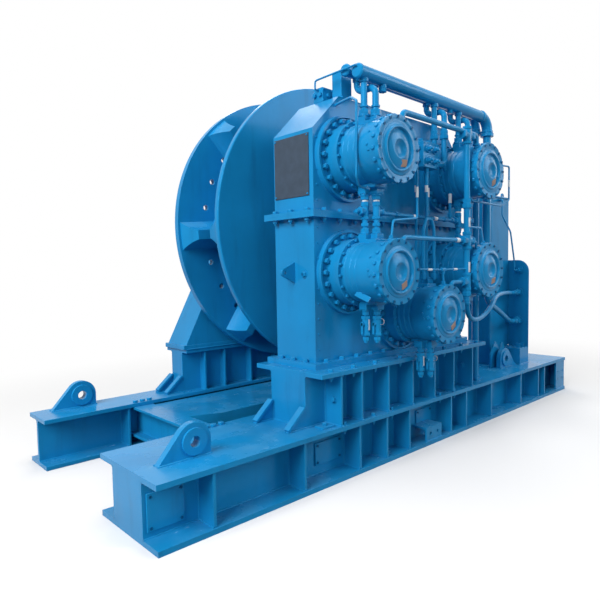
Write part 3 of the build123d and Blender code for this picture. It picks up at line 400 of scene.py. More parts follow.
def union(bm, place, direction, radius):
    """Screwed pipe union: two nuts with a collar between them."""
    axis = Vector(direction)
    hex_nut(bm, Vector(place) - axis * 1.5 * radius, axis, 2.8 * radius, 1.4 * radius)
    collar(bm, Vector(place) - axis * 0.2 * radius, axis, 1.28 * radius, 0.6 * radius)
    hex_nut(bm, Vector(place) + axis * 0.3 * radius, axis, 2.5 * radius, 1.2 * radius)


def tee(bm, place, run, branch, radius):
    """Pipe tee with a nut at each of its three ends."""
    place, run, branch = Vector(place), Vector(run), Vector(branch)
    collar(bm, place - run * 1.8 * radius, run, 1.32 * radius, 3.6 * radius)
    collar(bm, place, branch, 1.25 * radius, 2.4 * radius)
    for start, axis in ((-2.8, run), (1.8, run), (2.2, branch)):
        hex_nut(bm, place + axis * start * radius, axis, 2.75 * radius, radius)


def stack(bm, place, axis, rows):
    """Collars and nuts along an axis, each as (maker, distance, size, length) and a collar's sides."""
    for make, distance, *size in rows:
        make(bm, Vector(place) + axis * distance, axis, *size)


def slab(bm, place, normal, along, size, edge):
    """Flat plate at a place, with a length, a width and a thickness along its normal."""
    up, run = Vector(normal).normalized(), Vector(along).normalized()
    turned = Matrix((run, up.cross(run), up)).transposed().to_4x4()
    matrix = Matrix.Translation(place) @ turned @ Matrix.Diagonal((*size, 1.0))
    made = bmesh.ops.create_cube(bm, size=1.0, matrix=matrix)["verts"]
    bevel_edges(bm, edges_of(made), edge)


def rounded_box(bm, low, high, width):
    """Block between two corners with rounded edges."""
    low, high = Vector(low), Vector(high)
    slab(bm, (low + high) / 2, UP, RIGHT, high - low, width)


def cut_plate(bm, corners, depth, edge):
    """Plate cut to an outline, with its thickness along a direction."""
    face = bm.faces.new([bm.verts.new(corner) for corner in corners])
    lifted = verts_in(bmesh.ops.extrude_face_region(bm, geom=[face])["geom"])
    bmesh.ops.translate(bm, vec=depth, verts=lifted)
    bevel_edges(bm, edges_of(connected(lifted)), edge)


def lathe(bm, profile, matrix, steps):
    """Spins a profile of (radius, height) points about the Z axis of a matrix."""
    verts = [bm.verts.new((radius, 0.0, height)) for radius, height in profile]
    edges = [bm.edges.new(pair) for pair in zip(verts, verts[1:])]
    made = bmesh.ops.spin(
        bm, geom=verts + edges, cent=(0, 0, 0), axis=(0, 0, 1), dvec=(0, 0, 0),
        angle=math.tau, steps=steps, use_merge=True, use_duplicate=False,
    )
    reach = connected(verts + verts_in(made["geom_last"]))
    bmesh.ops.transform(bm, matrix=matrix, verts=reach)
    return reach


def connected(verts):
    """Every vertex that hangs together with the given ones, in a steady order."""
    found = dict.fromkeys(verts)
    queue = list(found)
    while queue:
        for edge in queue.pop().link_edges:
            for vert in edge.verts:
                if vert not in found:
                    found[vert] = None
                    queue.append(vert)
    return list(found)


def solid_boxes(node):
    """Lowest and highest corner of each separate solid in a CAD node."""
    bm = merged_copy(node)
    left = dict.fromkeys(bm.verts)
    boxes = []
    while left:
        solid = connected([next(iter(left))])
        for vert in solid:
            del left[vert]
        boxes.append([Vector(pick(vert.co[i] for vert in solid) for i in range(3)) for pick in (min, max)])
    bm.free()
    return boxes


def ring(bm, place, direction, inner, outer, length, steps=32):
    """Flat ring round an axis, its inner wall just inside what it sits on."""
    profile = [(inner, 0.0), (outer, 0.0), (outer, length), (inner, length), (inner, 0.0)]
    lathe(bm, profile, pointing(place, direction), steps)


def band(bm, place, direction, radius, length, steps=32):
    """Plain band round a pipe."""
    ring(bm, place, direction, radius - 0.0020, radius + 0.0015, length, steps)


def pattern(name, bm):
    """A small mesh that is stamped many times."""
    mesh = bpy.data.meshes.new(name)
    bm.to_mesh(mesh)
    bm.free()
    return mesh


def stamp(bm, mesh, matrices):
    """Copies a small mesh to each place."""
    for matrix in matrices:
        placed = mesh.copy()
        placed.transform(matrix)
        bm.from_mesh(placed)
        bpy.data.meshes.remove(placed)


def set_out(bm, mesh, spots, direction):
    """Copies a small mesh to each spot, pointing one way."""
    stamp(bm, mesh, [pointing(spot, direction) for spot in spots])


def inset_corners(low, high, inset):
    """The four corners of a box's front face, set in from its edges."""
    return [(x, low.y, z) for x in (low.x + inset, high.x - inset) for z in (low.z + inset, high.z - inset)]


def chamfer_crown(bm, level, width):
    """Chamfers the edges above a level."""
    crown = [edge for edge in bm.edges if min(vert.co.z for vert in edge.verts) > level]
    bevel_edges(bm, crown, width, segments=1)


def hex_bolt(flats, height, washer=1.45):
    """Hex head with a chamfered crown on a washer, its foot sunk a little."""
    bm = bmesh.new()
    plate = 0.12 * flats
    bar(bm, DOWN * BOLT_SUNK, UP, washer * flats / 2, plate + BOLT_SUNK, 14)
    bar(bm, UP * plate, UP, HEX * flats, height, 6)
    chamfer_crown(bm, plate + 0.9 * height, 0.13 * flats)
    return pattern("hex_bolt", bm)


def stud_nut(flats, height, stud):
    """Hex nut with the end of its stud standing out of it."""
    bm = bmesh.new()
    bar(bm, DOWN * SCREW_SUNK, UP, HEX * flats, height + SCREW_SUNK, 6)
    chamfer_crown(bm, 0.9 * height, 0.12 * flats)
    bar(bm, UP * (height - 0.001), UP, 0.30 * flats, stud, 10, 0.26 * flats)
    return pattern("stud_nut", bm)


def cap_screw(radius, height):
    """Round head with a socket."""
    bm = bmesh.new()
    bar(bm, DOWN * SCREW_SUNK, UP, radius, height + SCREW_SUNK, 12)
    crown = max(bm.faces, key=lambda face: face.calc_center_median().z)
    bmesh.ops.inset_region(bm, faces=[crown], thickness=0.45 * radius, use_even_offset=True)
    well = bmesh.ops.extrude_discrete_faces(bm, faces=[crown])["faces"][0]
    bmesh.ops.translate(bm, vec=DOWN * 0.7 * height, verts=well.verts)
    return pattern("cap_screw", bm)


def circle_places(centre, direction, radius, count, start=0.0):
    """Matrices evenly round a circle about an axis, each pointing along it."""
    base = pointing(centre, direction)
    turns = [start + math.tau * step / count for step in range(count)]
    return [base @ Matrix.Translation((radius * math.cos(a), radius * math.sin(a), 0.0)) for a in turns]


def swept(bm, control, radius):
    """Round tube along one smooth curve with the given control points."""
    curve = bpy.data.curves.new("swept", "CURVE")
    curve.dimensions = "3D"
    curve.bevel_depth = radius
    curve.bevel_resolution = 4
    curve.use_fill_caps = True
    curve.resolution_u = 6
    spline = curve.splines.new("NURBS")
    spline.points.add(len(control) - 1)
    for point, place in zip(spline.points, control):
        point.co = (*place, 1.0)
    spline.order_u = 3
    spline.use_endpoint_u = True
    carrier = bpy.data.objects.new("swept", curve)
    mesh = bpy.data.meshes.new_from_object(carrier)
    bm.from_mesh(mesh)
    bpy.data.objects.remove(carrier)
    bpy.data.curves.remove(curve)
    bpy.data.meshes.remove(mesh)


def pipe_run(bm, points, radius):
    """Bent rigid tube along straight runs, with a control point each side of every bend."""
    route = [Vector(point) for point in points]
    control = [route[0]]
    for before, corner, after in zip(route, route[1:], route[2:]):
        for side in (before, after):
            run = side - corner
            control.append(corner + run.normalized() * min(TUBE_BEND, run.length / 2))
        control.insert(-1, corner)
    swept(bm, control + [route[-1]], radius)


def hose_route(start, end, bends):
    """Control points of a hose from a pipe's foot to a fitting, with (share, bow, rise) for each bend."""
    first, last = Vector(start) + DOWN * HOSE_DROP, Vector(end) + LEFT * HOSE_LEAD
    route = [Vector(start), first]
    for share, bow, rise in bends:
        route.append(first.lerp(last, share) + FRONT * bow + UP * rise)
    return route + [last, Vector(end)]


def weld(bm, start, end, lean, leg):
    """Rippled fillet bead in the corner between two plates."""
    run, offset = end - start, lean * leg * BEAD_OFFSET
    made = edges_of(bar(bm, start + offset, run, leg * BEAD_RADIUS, run.length, 6))
    long_edges = [edge for edge in made if share_along(edge, run) > 0.9]
    cuts = max(2, int(run.length / RIPPLE_SPACING))
    made = bmesh.ops.subdivide_edges(bm, edges=long_edges, cuts=cuts, use_grid_fill=True)
    for vert in verts_in(made["geom_inner"]):
        centre = start + run * (vert.co - start).dot(run) / run.dot(run) + offset
        ripple = RIPPLE_DEPTH * noise.noise(vert.co * RIPPLE_FINENESS)
        vert.co = centre + (vert.co - centre) * (1.0 + ripple)


def weld_lines(node, shortest, foot=None):
    """Inside corners of a node, or its outline at a foot's level, as (start, end, lean) of each bead."""
    bm = merged_copy(node)
    found = []
    for edge in bm.edges:
        if not edge.is_manifold or edge.calc_length() < shortest:
            continue
        sides = [face.normal for face in edge.link_faces]
        if foot is None:
            carries = not edge.is_convex and edge.calc_face_angle() > CORNER
        else:
            sides = [side for side in sides if abs(side.z) < 0.5] + [UP]
            carries = len(sides) == 2 and all(abs(vert.co.z - foot) <= 0.001 for vert in edge.verts)
        if carries:
            ends = [vert.co.copy() for vert in edge.verts]
            found.append((*ends, (sides[0] + sides[1]).normalized()))
    bm.free()
    return found


class HaulerPaint(bpy.types.PropertyGroup):
    """Colours and gloss of the finishes."""

    paint_colour: FloatVectorProperty(
        name="Paint", description="Blue of the painted steel", default=(0.007, 0.212, 0.470), subtype="COLOR"
    )
    sheen_colour: FloatVectorProperty(
        name="Sheen", description="Tint of the paint's mirror-like part",
        default=(0.06, 0.40, 0.80), subtype="COLOR",
    )
    grime_colour: FloatVectorProperty(
        name="Grime", description="Grime in runs and grease on steel",
        default=(0.006, 0.075, 0.19), subtype="COLOR",
    )
    dust_colour: FloatVectorProperty(
        name="Dust", description="Dust and rubbed paint on level faces",
        default=(0.20, 0.42, 0.58), subtype="COLOR",
    )
    steel_colour: FloatVectorProperty(
        name="Steel", description="Bare machined steel", default=(0.46, 0.47, 0.48), subtype="COLOR"
    )
    plate_colour: FloatVectorProperty(
        name="Plate", description="Dark plate on the gear case",
        default=(0.038, 0.058, 0.087), subtype="COLOR",
    )
    band_colour: FloatVectorProperty(
        name="Bands", description="Pale bands round the pipes", default=(0.62, 0.70, 0.76), subtype="COLOR"
    )
    patch_colour: FloatVectorProperty(
        name="Patch", description="Small plain patch on the motor covers",
        default=(0.33, 0.225, 0.180), subtype="COLOR",
    )
    # Screws: a dark blue that paints the shade of their sockets and of the ring's notches onto the screws
    # themselves
    screw_shade_colour: FloatVectorProperty(
        name="Screws", description="Sunk screws in shade", default=(0.004, 0.105, 0.255), subtype="COLOR"
    )
    gloss_roughness: FloatProperty(
        name="Roughness", description="Roughness of fresh paint", default=0.17, subtype="FACTOR"
    )


class HaulerSizes(bpy.types.PropertyGroup):
    """Sizes of edges, welds and fasteners."""

    plate_edge: FloatProperty(
        name="Plate edge", description="Rounding of cut plate edges", default=0.004, unit="LENGTH"
    )
    cast_edge: FloatProperty(
        name="Cast edge", description="Rounding of cast and machined edges", default=0.006, unit="LENGTH"
    )
    wheel_edge: FloatProperty(
        name="Wheel edge", description="Rounding of the chain wheel's rims", default=0.012, unit="LENGTH"
    )
    weld_leg: FloatProperty(
        name="Weld leg", description="Leg of the fillet welds", default=0.011, unit="LENGTH"
    )
    flange_bolt: FloatProperty(
        name="Flange bolt", description="Gearbox bolts across their flats", default=0.040, unit="LENGTH"
    )
    ring_lobes: IntProperty(
        name="Ring lobes", description="Lobes and screws of each motor's end ring", default=16
    )
    front_screws: IntProperty(name="Front screws", description="Screws on each gearbox front", default=18)


class HaulerStage(bpy.types.PropertyGroup):
    """Camera and light."""

    camera_place: FloatVectorProperty(
        name="Camera", description="Place of the camera",
        default=(-4.495, -4.108, 1.705), subtype="XYZ", unit="LENGTH",
    )
    camera_yaw: FloatProperty(
        name="Yaw", description="Camera heading from +X", default=math.radians(45.535), subtype="ANGLE"
    )
    camera_pitch: FloatProperty(
        name="Pitch", description="Camera tilt above level", default=math.radians(-3.591), subtype="ANGLE"
    )
    camera_roll: FloatProperty(
        name="Roll", description="Camera roll", default=math.radians(-0.827), subtype="ANGLE"
    )
    lens: FloatProperty(name="Lens", description="Focal length in millimetres", default=32.065)
    shift_x: FloatProperty(name="Shift X", description="Sideways lens shift", default=-0.0384)
    shift_y: FloatProperty(name="Shift Y", description="Upright lens shift", default=0.0054)
    ambient: FloatProperty(name="Ambient", description="Light from all round", default=0.08)
    floor_bounce: FloatProperty(
        name="Floor bounce", description="Share of light that the floor sends back",
        default=0.20, subtype="FACTOR",
    )
    floor_tone: FloatProperty(
        name="Floor", description="Lightness of the floor", default=0.80, subtype="FACTOR"
    )


class HAULER_OT_finishes(bpy.types.Operator):
    """Mixes the paint, steel, plate, band and patch finishes."""

    bl_idname = "hauler.finishes"
    bl_label = "Mix finishes"

    def execute(self, context):
        paint = context.scene.hauler_paint
        # Name, fineness and depth of the grain, depth of the waves, wear and shine
        for row in (
            ("plate_paint", 140.0, 0.0002, 0.0016, 1.0, 1.0),
            ("cast_paint", 70.0, 0.0004, 0.0008, 0.5, 1.0),
            ("pipe_paint", 160.0, 0.0002, 0.0004, 0.4, 1.0),
            ("wheel_paint", 110.0, 0.0003, 0.0020, 0.8, 1.0),
            ("weld_paint", 220.0, 0.0003, 0.0004, 0.3, 1.0),
            ("hose_paint", 240.0, 0.0002, 0.0004, 0.0, 0.25),
        ):
            paint_finish(paint, *row)
        steel_finish(paint, "turned_steel", (0.4, 6.0, 0.4))
        steel_finish(paint, "gear_steel", (1.0, 1.0, 1.0))
        # Name, colour, roughness, fineness of the speckle and tint of the sheen
        flat_finish("dark_plate", paint.plate_colour, 0.42, 260.0)
        flat_finish("pale_band", paint.band_colour, 0.50, 300.0)
        flat_finish("plain_patch", paint.patch_colour, 0.45, 300.0)
        # The screw finish is painted shade: dark blue in place of the shadow in sunk sockets and notches
        flat_finish("screw_shade_paint", paint.screw_shade_colour, 0.25, 220.0, paint.sheen_colour)
        return {"FINISHED"}


class HAULER_OT_structure(bpy.types.Operator):
    """Paints the skid, the case and the bearing frame with rounded plate edges."""

    bl_idname = "hauler.structure"
    bl_label = "Paint the structure"

    def execute(self, context):
        width = context.scene.hauler_sizes.plate_edge
        plates = [
            "near_beam", "far_beam", "front_cross_member", "middle_cross_member", "rear_cross_member",
            "deck_box", "near_padeyes", "far_padeyes", "web_covers", "near_pedestal", "far_pedestal",
            "lower_gear_case", "upper_gear_case", "far_bearing_frame", "far_bearing_cap", "far_end_cover",
            "bulkhead", "oil_tank", "oil_tank_lid", "flange_bolts", "cap_bolts",
        ]
        for node in plates:
            rounded_node(node, "plate_paint", width)
        return {"FINISHED"}


class HAULER_OT_wheel(bpy.types.Operator):
    """Paints the chain wheel and finishes its shaft and gears."""

    bl_idname = "hauler.wheel"
    bl_label = "Paint the chain wheel"

    def execute(self, context):
        width = context.scene.hauler_sizes.wheel_edge
        for node in ("near_wheel_flange", "far_wheel_flange", "near_whelps", "far_whelps", "hub_drum"):
            rounded_node(node, "wheel_paint", width)
        rounded_node("main_shaft", "turned_steel", width / 2)
        inner = ["bull_gear", "case_bearings", "far_main_bearing"] + [f"pinion_{n}" for n in range(1, 6)]
        for node in inner:
            frame["nodes"][node].data.materials[0] = finish("gear_steel")
        return {"FINISHED"}


class HAULER_OT_gearboxes(bpy.types.Operator):
    """Paints the gearboxes and adds their shrouds, flange bolts, front screws and boss fillets."""

    bl_idname = "hauler.gearboxes"
    bl_label = "Dress the gearboxes"

    def execute(self, context):
        sizes = context.scene.hauler_sizes
        big_bolt = hex_bolt(sizes.flange_bolt, 0.034, 1.32)
        small_bolt = hex_bolt(0.022, 0.013, 1.2)
        bolt_circle, bolt_count, screw_circle = 0.306, 20, 0.2675
        bolts = bmesh.new()
        for number, drive in enumerate(DRIVES, start=1):
            rounded_node(f"gearbox_{number}", "cast_paint", sizes.cast_edge)
            flange = (drive.x, FLANGE_FRONT, drive.z)
            stamp(bolts, big_bolt, circle_places(flange, FRONT, bolt_circle, bolt_count))
            bm = bmesh.new()
            lathe(bm, SHROUD_OUTLINE, pointing(flange, FRONT), ROUND_STEPS)
            lathe(bm, FILLET_OUTLINE, pointing((drive.x, CASE_FRONT, drive.z), FRONT), ROUND_STEPS)
            front = (drive.x, GEARBOX_FRONT - 0.002, drive.z)
            stamp(bm, small_bolt, circle_places(front, FRONT, screw_circle, sizes.front_screws, 0.1))
            piece(f"gearbox_dressing_{number}", bm, "cast_paint")
        made = piece("gearbox_bolts_finished", bolts, "cast_paint")
        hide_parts("gearbox_bolts")
        return {"FINISHED"}


class HAULER_OT_motors(bpy.types.Operator):
    """Turns the motor bodies with their lobed end rings, port blocks, plugs and ring screws."""

    bl_idname = "hauler.motors"
    bl_label = "Build the motors"

    def execute(self, context):
        sizes = context.scene.hauler_sizes
        screw = cap_screw(0.012, 0.006)
        plug = hex_bolt(0.018, 0.006, 1.3)
        lug = hex_bolt(0.032, 0.013, 1.2)
        screw_circle = 0.2425
        # Turn in degrees of each plug and lug, its distance behind the end ring and its reach from the axis
        plugs = ((176.0, 0.118, 0.2475), (186.0, 0.104, 0.2475), (152.0, 0.118, 0.2475))
        lugs = [(turn, 0.054, 0.2505) for turn in range(4, 364, 20)]
        for number, drive in enumerate(DRIVES, start=1):
            bm = bmesh.new()
            self.turn_body(bm, drive, sizes.ring_lobes)
            self.add_ports(bm, drive, UP, PORTS, sizes.cast_edge)
            self.add_ports(bm, drive, DOWN, LOW_PORTS if number == 3 else PORTS, sizes.cast_edge)
            for mesh, places in ((plug, plugs), (lug, lugs)):
                for place in places:
                    self.set_plug(bm, mesh, drive, *place)
            body = piece(f"motor_{number}_finished", bm, "cast_paint")
            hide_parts(f"motor_{number}")
            # The ring screws carry painted shade: their dark finish stands in for the shadow in the ring's
            # notches
            screws = bmesh.new()
            front = (drive.x, MOTOR_FRONT, drive.z)
            start = SCALLOP_TURN / sizes.ring_lobes
            stamp(screws, screw, circle_places(front, FRONT, screw_circle, sizes.ring_lobes, start))
            piece(f"ring_screws_{number}", screws, "screw_shade_paint")
        return {"FINISHED"}

    def turn_body(self, bm, drive, lobes):
        """Motor body with a shallow scallop at each screw of its end ring."""
        verts = lathe(bm, MOTOR_OUTLINE, Matrix.Identity(4), lobes * 8)
        for vert in verts:
            reach = math.hypot(vert.co.x, vert.co.y)
            if reach > SCALLOP_RADIUS:
                turn = math.atan2(vert.co.y, vert.co.x) * lobes - SCALLOP_TURN
                shrink = 1.0 - SCALLOP_DEPTH * max(0.0, math.cos(turn)) / reach
                vert.co.x *= shrink
                vert.co.y *= shrink
        bmesh.ops.transform(bm, matrix=pointing((drive.x, GEARBOX_FRONT, drive.z), FRONT), verts=verts)

    def add_ports(self, bm, drive, way, ports, edge):
        """Port block on the motor with a bolted pad for each of its two ports."""
        screw = cap_screw(0.008, 0.006)
        block, pad = (0.150, 0.180, 0.100), (0.088, 0.084, 0.060)
        middle = Vector((drive.x + 0.030, GEARBOX_FRONT - 0.105, drive.z)) + way * 0.220
        slab(bm, middle, way, RIGHT, block, edge * 1.5)
        for across, out in ports:
            top = Vector((drive.x + across, GEARBOX_FRONT + out, drive.z)) + way * PORT_REACH
            slab(bm, top - way * (pad[2] / 2), way, RIGHT, pad, edge)
            spots = [top + Vector((x, y, 0.0)) for x in (-0.034, 0.034) for y in (-0.032, 0.032)]
            set_out(bm, screw, spots, way)

    def set_plug(self, bm, mesh, drive, turn, setback, radius):
        """One plug on the motor's round side, at a turn in degrees."""
        angle = math.radians(turn)
        out = Vector((math.cos(angle), 0.0, math.sin(angle)))
        set_out(bm, mesh, [Vector((drive.x, MOTOR_FRONT + setback, drive.z)) + out * radius], out)


class HAULER_OT_covers(bpy.types.Operator):
    """Turns the dished motor covers and lays a plain patch on each."""

    bl_idname = "hauler.covers"
    bl_label = "Turn the motor covers"

    def execute(self, context):
        patches = bmesh.new()
        # Which way the patches lie from the covers' middles, and how far each is turned, in degrees
        out = Vector((0.43, 0.0, -0.903))
        turns = (4.0, 28.0, 34.0, 24.0, 12.0)
        for number, (drive, turn) in enumerate(zip(DRIVES, turns), start=1):
            bm = bmesh.new()
            lathe(bm, COVER_OUTLINE, pointing((drive.x, COVER_BACK, drive.z), FRONT), ROUND_STEPS)
            cover = piece(f"motor_cover_{number}_finished", bm, "cast_paint")
            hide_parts(f"motor_cover_{number}")
            lean = math.radians(turn)
            place = Vector((drive.x, COVER_BACK - 0.0125, drive.z)) + out * 0.118
            along = Vector((math.cos(lean), 0.0, math.sin(lean)))
            slab(patches, place, FRONT + out * 0.29, along, (0.072, 0.056, 0.006), 0.001)
        piece("cover_patches", patches, "plain_patch")
        return {"FINISHED"}


class HAULER_OT_pipework(bpy.types.Operator):
    """Paints the pipes, blocks and valves, and sweeps the two hoses with their crimped ends."""

    bl_idname = "hauler.pipework"
    bl_label = "Paint the pipework"

    def execute(self, context):
        width = context.scene.hauler_sizes.cast_edge
        for node in ("pressure_header", "return_header", "link_pipes", "drain_riser"):
            rounded_node(node, "pipe_paint", width / 2)
        for node in ("valve_blocks", "motor_valves"):
            rounded_node(node, "cast_paint", width)
        rounded_node("bulkhead_fittings", "pipe_paint", width / 2)
        low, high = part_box("bulkhead_fittings")
        end_y = (low.y + high.y) / 2
        # Each bend as its share of the way, its bow to the front and its rise
        upper_bends = (
            (0.083, 0.011, -0.098), (0.243, 0.026, -0.112), (0.387, 0.061, -0.020),
            (0.532, 0.033, 0.057), (0.725, 0.047, 0.056), (0.894, 0.047, 0.025),
        )
        lower_bends = ((0.135, -0.003, -0.047), (0.395, 0.016, -0.030), (0.731, 0.031, -0.033))
        upper = hose_route(RISER + UP * 1.450, (low.x, end_y, high.z - 0.034), upper_bends)
        lower = hose_route((HEADER_BEND, PRESSURE_Y, 1.560), (low.x, end_y, low.z + 0.034), lower_bends)
        self.sweep_hose("return_hose", upper, 0.024)
        self.sweep_hose("pressure_hose", lower, 0.030)
        return {"FINISHED"}

    def sweep_hose(self, node, route, radius):
        """One hose along its route, with a nut and a ribbed crimp at each end."""
        bm = bmesh.new()
        swept(bm, route, radius)
        hose = piece(f"{node}_finished", bm, "hose_paint")
        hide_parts(node)
        ends = bmesh.new()
        for place, axis in ((route[0], DOWN), (route[-1], LEFT)):
            hex_nut(ends, place - axis * 0.040, axis, 3.0 * radius, 0.050)
            collar(ends, place, axis, 1.30 * radius, 0.095)
            for step in range(3):
                collar(ends, place + axis * (0.022 + 0.024 * step), axis, 1.40 * radius, 0.012)
        piece(f"{node}_ends", ends, "pipe_paint")


class HAULER_OT_fittings(bpy.types.Operator):
    """Sets nuts, unions, tees, caps and plain bands on the pipes."""

    bl_idname = "hauler.fittings"
    bl_label = "Set the pipe fittings"

    def execute(self, context):
        bm, bands = bmesh.new(), bmesh.new()
        self.dress_links(bm, bands)
        self.dress_headers(bm)
        self.dress_riser(bm, bands)
        self.dress_manifold(bm)
        piece("pipe_fittings", bm, "pipe_paint")
        piece("pipe_bands", bands, "pale_band")
        return {"FINISHED"}

    def dress_links(self, bm, bands):
        """Collars, nuts, bands and tees on the upright pipes between the ports."""
        rim = (collar, 0.0, 0.041, 0.016)
        under_port = (rim, (hex_nut, 0.014, 0.064, 0.032), (hex_nut, 0.062, 0.062, 0.030))
        over_port = (rim, (hex_nut, 0.014, 0.064, 0.034), (hex_nut, 0.062, 0.060, 0.030))
        top_port = (
            (collar, 0.0, 0.047, 0.020), (hex_nut, 0.018, 0.078, 0.040), (collar, 0.075, 0.036, 0.018),
        )
        for upper, lower in ((DRIVES[0], DRIVES[1]), (DRIVES[3], DRIVES[4])):
            for (across, out), branch in zip(PORTS, (LEFT, RIGHT)):
                x, y = upper.x + across, GEARBOX_FRONT + out
                foot = upper.z - PORT_REACH
                stack(bm, (x, y, foot), DOWN, under_port)
                stack(bm, (x, y, lower.z + PORT_REACH), UP, over_port)
                stack(bm, (x, y, upper.z + PORT_REACH), UP, top_port)
                band(bands, (x, y, foot - 0.048), DOWN, 0.024, 0.012)
                tee(bm, (x, y, CROSS_LEVEL), UP, branch, 0.023)
        low_port = ((collar, 0.0, 0.036, 0.014), (hex_nut, 0.012, 0.044, 0.036))
        for across, out in PORTS:
            x, y = DRIVES[2].x + across, GEARBOX_FRONT + out
            stack(bm, (x, y, DRIVES[2].z + PORT_REACH), UP, low_port)
            hex_nut(bm, (x, y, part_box("valve_blocks")[0].z), DOWN, 0.044, 0.034)
            band(bands, (x, y, 2.40), UP, 0.014, 0.060)
        for x in (-0.950, -0.700, 0.060, 0.190):
            union(bm, (x, PRESSURE_Y, CROSS_LEVEL), RIGHT, 0.016)
        for x in (-0.470, -0.130):
            band(bands, (x, PRESSURE_Y, CROSS_LEVEL), RIGHT, 0.016, 0.050)

    def dress_headers(self, bm):
        """End caps, branch collars, sockets at the bends and the hanging plug."""
        branch = -0.120
        # Ports that each header feeds, its radius, and where its axis lies
        for (across, _), radius, y, z in (
            (PORTS[0], 0.055, PRESSURE_Y, 3.295), (PORTS[1], 0.046, -1.054, 3.333),
        ):
            brim = radius + 0.005
            dome = ((0.0, 0.0), (brim, 0.0), (brim, 0.016), (radius - 0.004, 0.027), (0.0, 0.034))
            lathe(bm, dome, pointing((HEADER_END, y, z), LEFT), 32)
            collar(bm, (HEADER_BEND - 0.150, y, z), RIGHT, radius + 0.006, 0.022, 32)
            collar(bm, (HEADER_BEND, y, z - 0.128), DOWN, radius + 0.006, 0.022, 32)
            for x in (DRIVES[0].x, branch, DRIVES[3].x):
                collar(bm, (x + across, y, z - radius - 0.020), UP, 0.037, 0.030)
        plug = ((collar, 0.0, 0.034, 0.030), (hex_nut, 0.026, 0.062, 0.036))
        stack(bm, (-0.888, PRESSURE_Y, 3.252), DOWN, plug)
        hex_nut(bm, (0.150, PRESSURE_Y, 3.252), DOWN, 0.050, 0.040)
        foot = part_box("valve_blocks")[0].z
        for (across, out), rise in zip(PORTS, (0.170, 0.060)):
            hex_nut(bm, (-0.208, GEARBOX_FRONT + out, foot + rise), RIGHT, 0.070, 0.034)
            union(bm, (branch + across, GEARBOX_FRONT + out, 2.960), UP, 0.0275)
        union(bm, (HEADER_BEND, PRESSURE_Y, 1.640), UP, 0.042)

    def dress_manifold(self, bm):
        """Cartridges, plugs and screws on the manifold and the two blocks on the case."""
        blocks = sorted(solid_boxes("valve_blocks"), key=lambda box: box[0].z - box[1].z)
        for low, high in blocks:
            set_out(bm, cap_screw(0.010, 0.008), inset_corners(low, high, 0.016), FRONT)
        low, high = min(blocks, key=lambda box: box[0].z)
        cartridge = (
            (collar, 0.0, 0.036, 0.012), (hex_nut, 0.010, 0.048, 0.030), (collar, 0.038, 0.013, 0.022, 16),
        )
        for x in (0.070, 0.172):
            for z in (0.062, 0.165):
                stack(bm, (low.x + x, low.y, low.z + z), FRONT, cartridge)
        for y, z in ((0.045, 0.060), (0.095, 0.115), (0.045, 0.170)):
            hex_nut(bm, (low.x, low.y + y, low.z + z), LEFT, 0.040, 0.026)
        for x in (0.060, 0.180):
            hex_nut(bm, (low.x + x, (low.y + high.y) / 2, high.z), UP, 0.044, 0.034)
        low, high = min(blocks, key=lambda box: box[0].x)
        middle = (low + high) / 2
        for across in (-0.034, 0.034):
            hex_nut(bm, (low.x, middle.y + across, middle.z), LEFT, 0.036, 0.020)
        hex_nut(bm, (middle.x, low.y, middle.z), FRONT, 0.036, 0.020)

    def dress_riser(self, bm, bands):
        """Tees and unions on the drain riser, with plain bands on it and its branches."""
        for level, branches in ((2.926, (LEFT, RIGHT)), (1.958, (LEFT, RIGHT)), (1.575, (LEFT,))):
            for branch in branches:
                tee(bm, RISER + UP * level, UP, branch, 0.029)
        for level in (1.480, 2.300):
            union(bm, RISER + UP * level, UP, 0.029)
        for low, high in ((2.085, 2.169), (1.663, 1.757)):
            place = RISER + FRONT * 0.0275 + UP * (low + high) / 2
            slab(bands, place, FRONT, UP, (high - low, 0.026, 0.005), 0.001)
        band(bands, RISER + Vector((-0.190, 0.0, 1.958)), RIGHT, 0.020, 0.050)
        for drive, side in ((DRIVES[0], 1), (DRIVES[3], -1)):
            collar(bm, (drive.x + side * 0.137, RISER.y, drive.z + 0.225), UP, 0.034, 0.022)


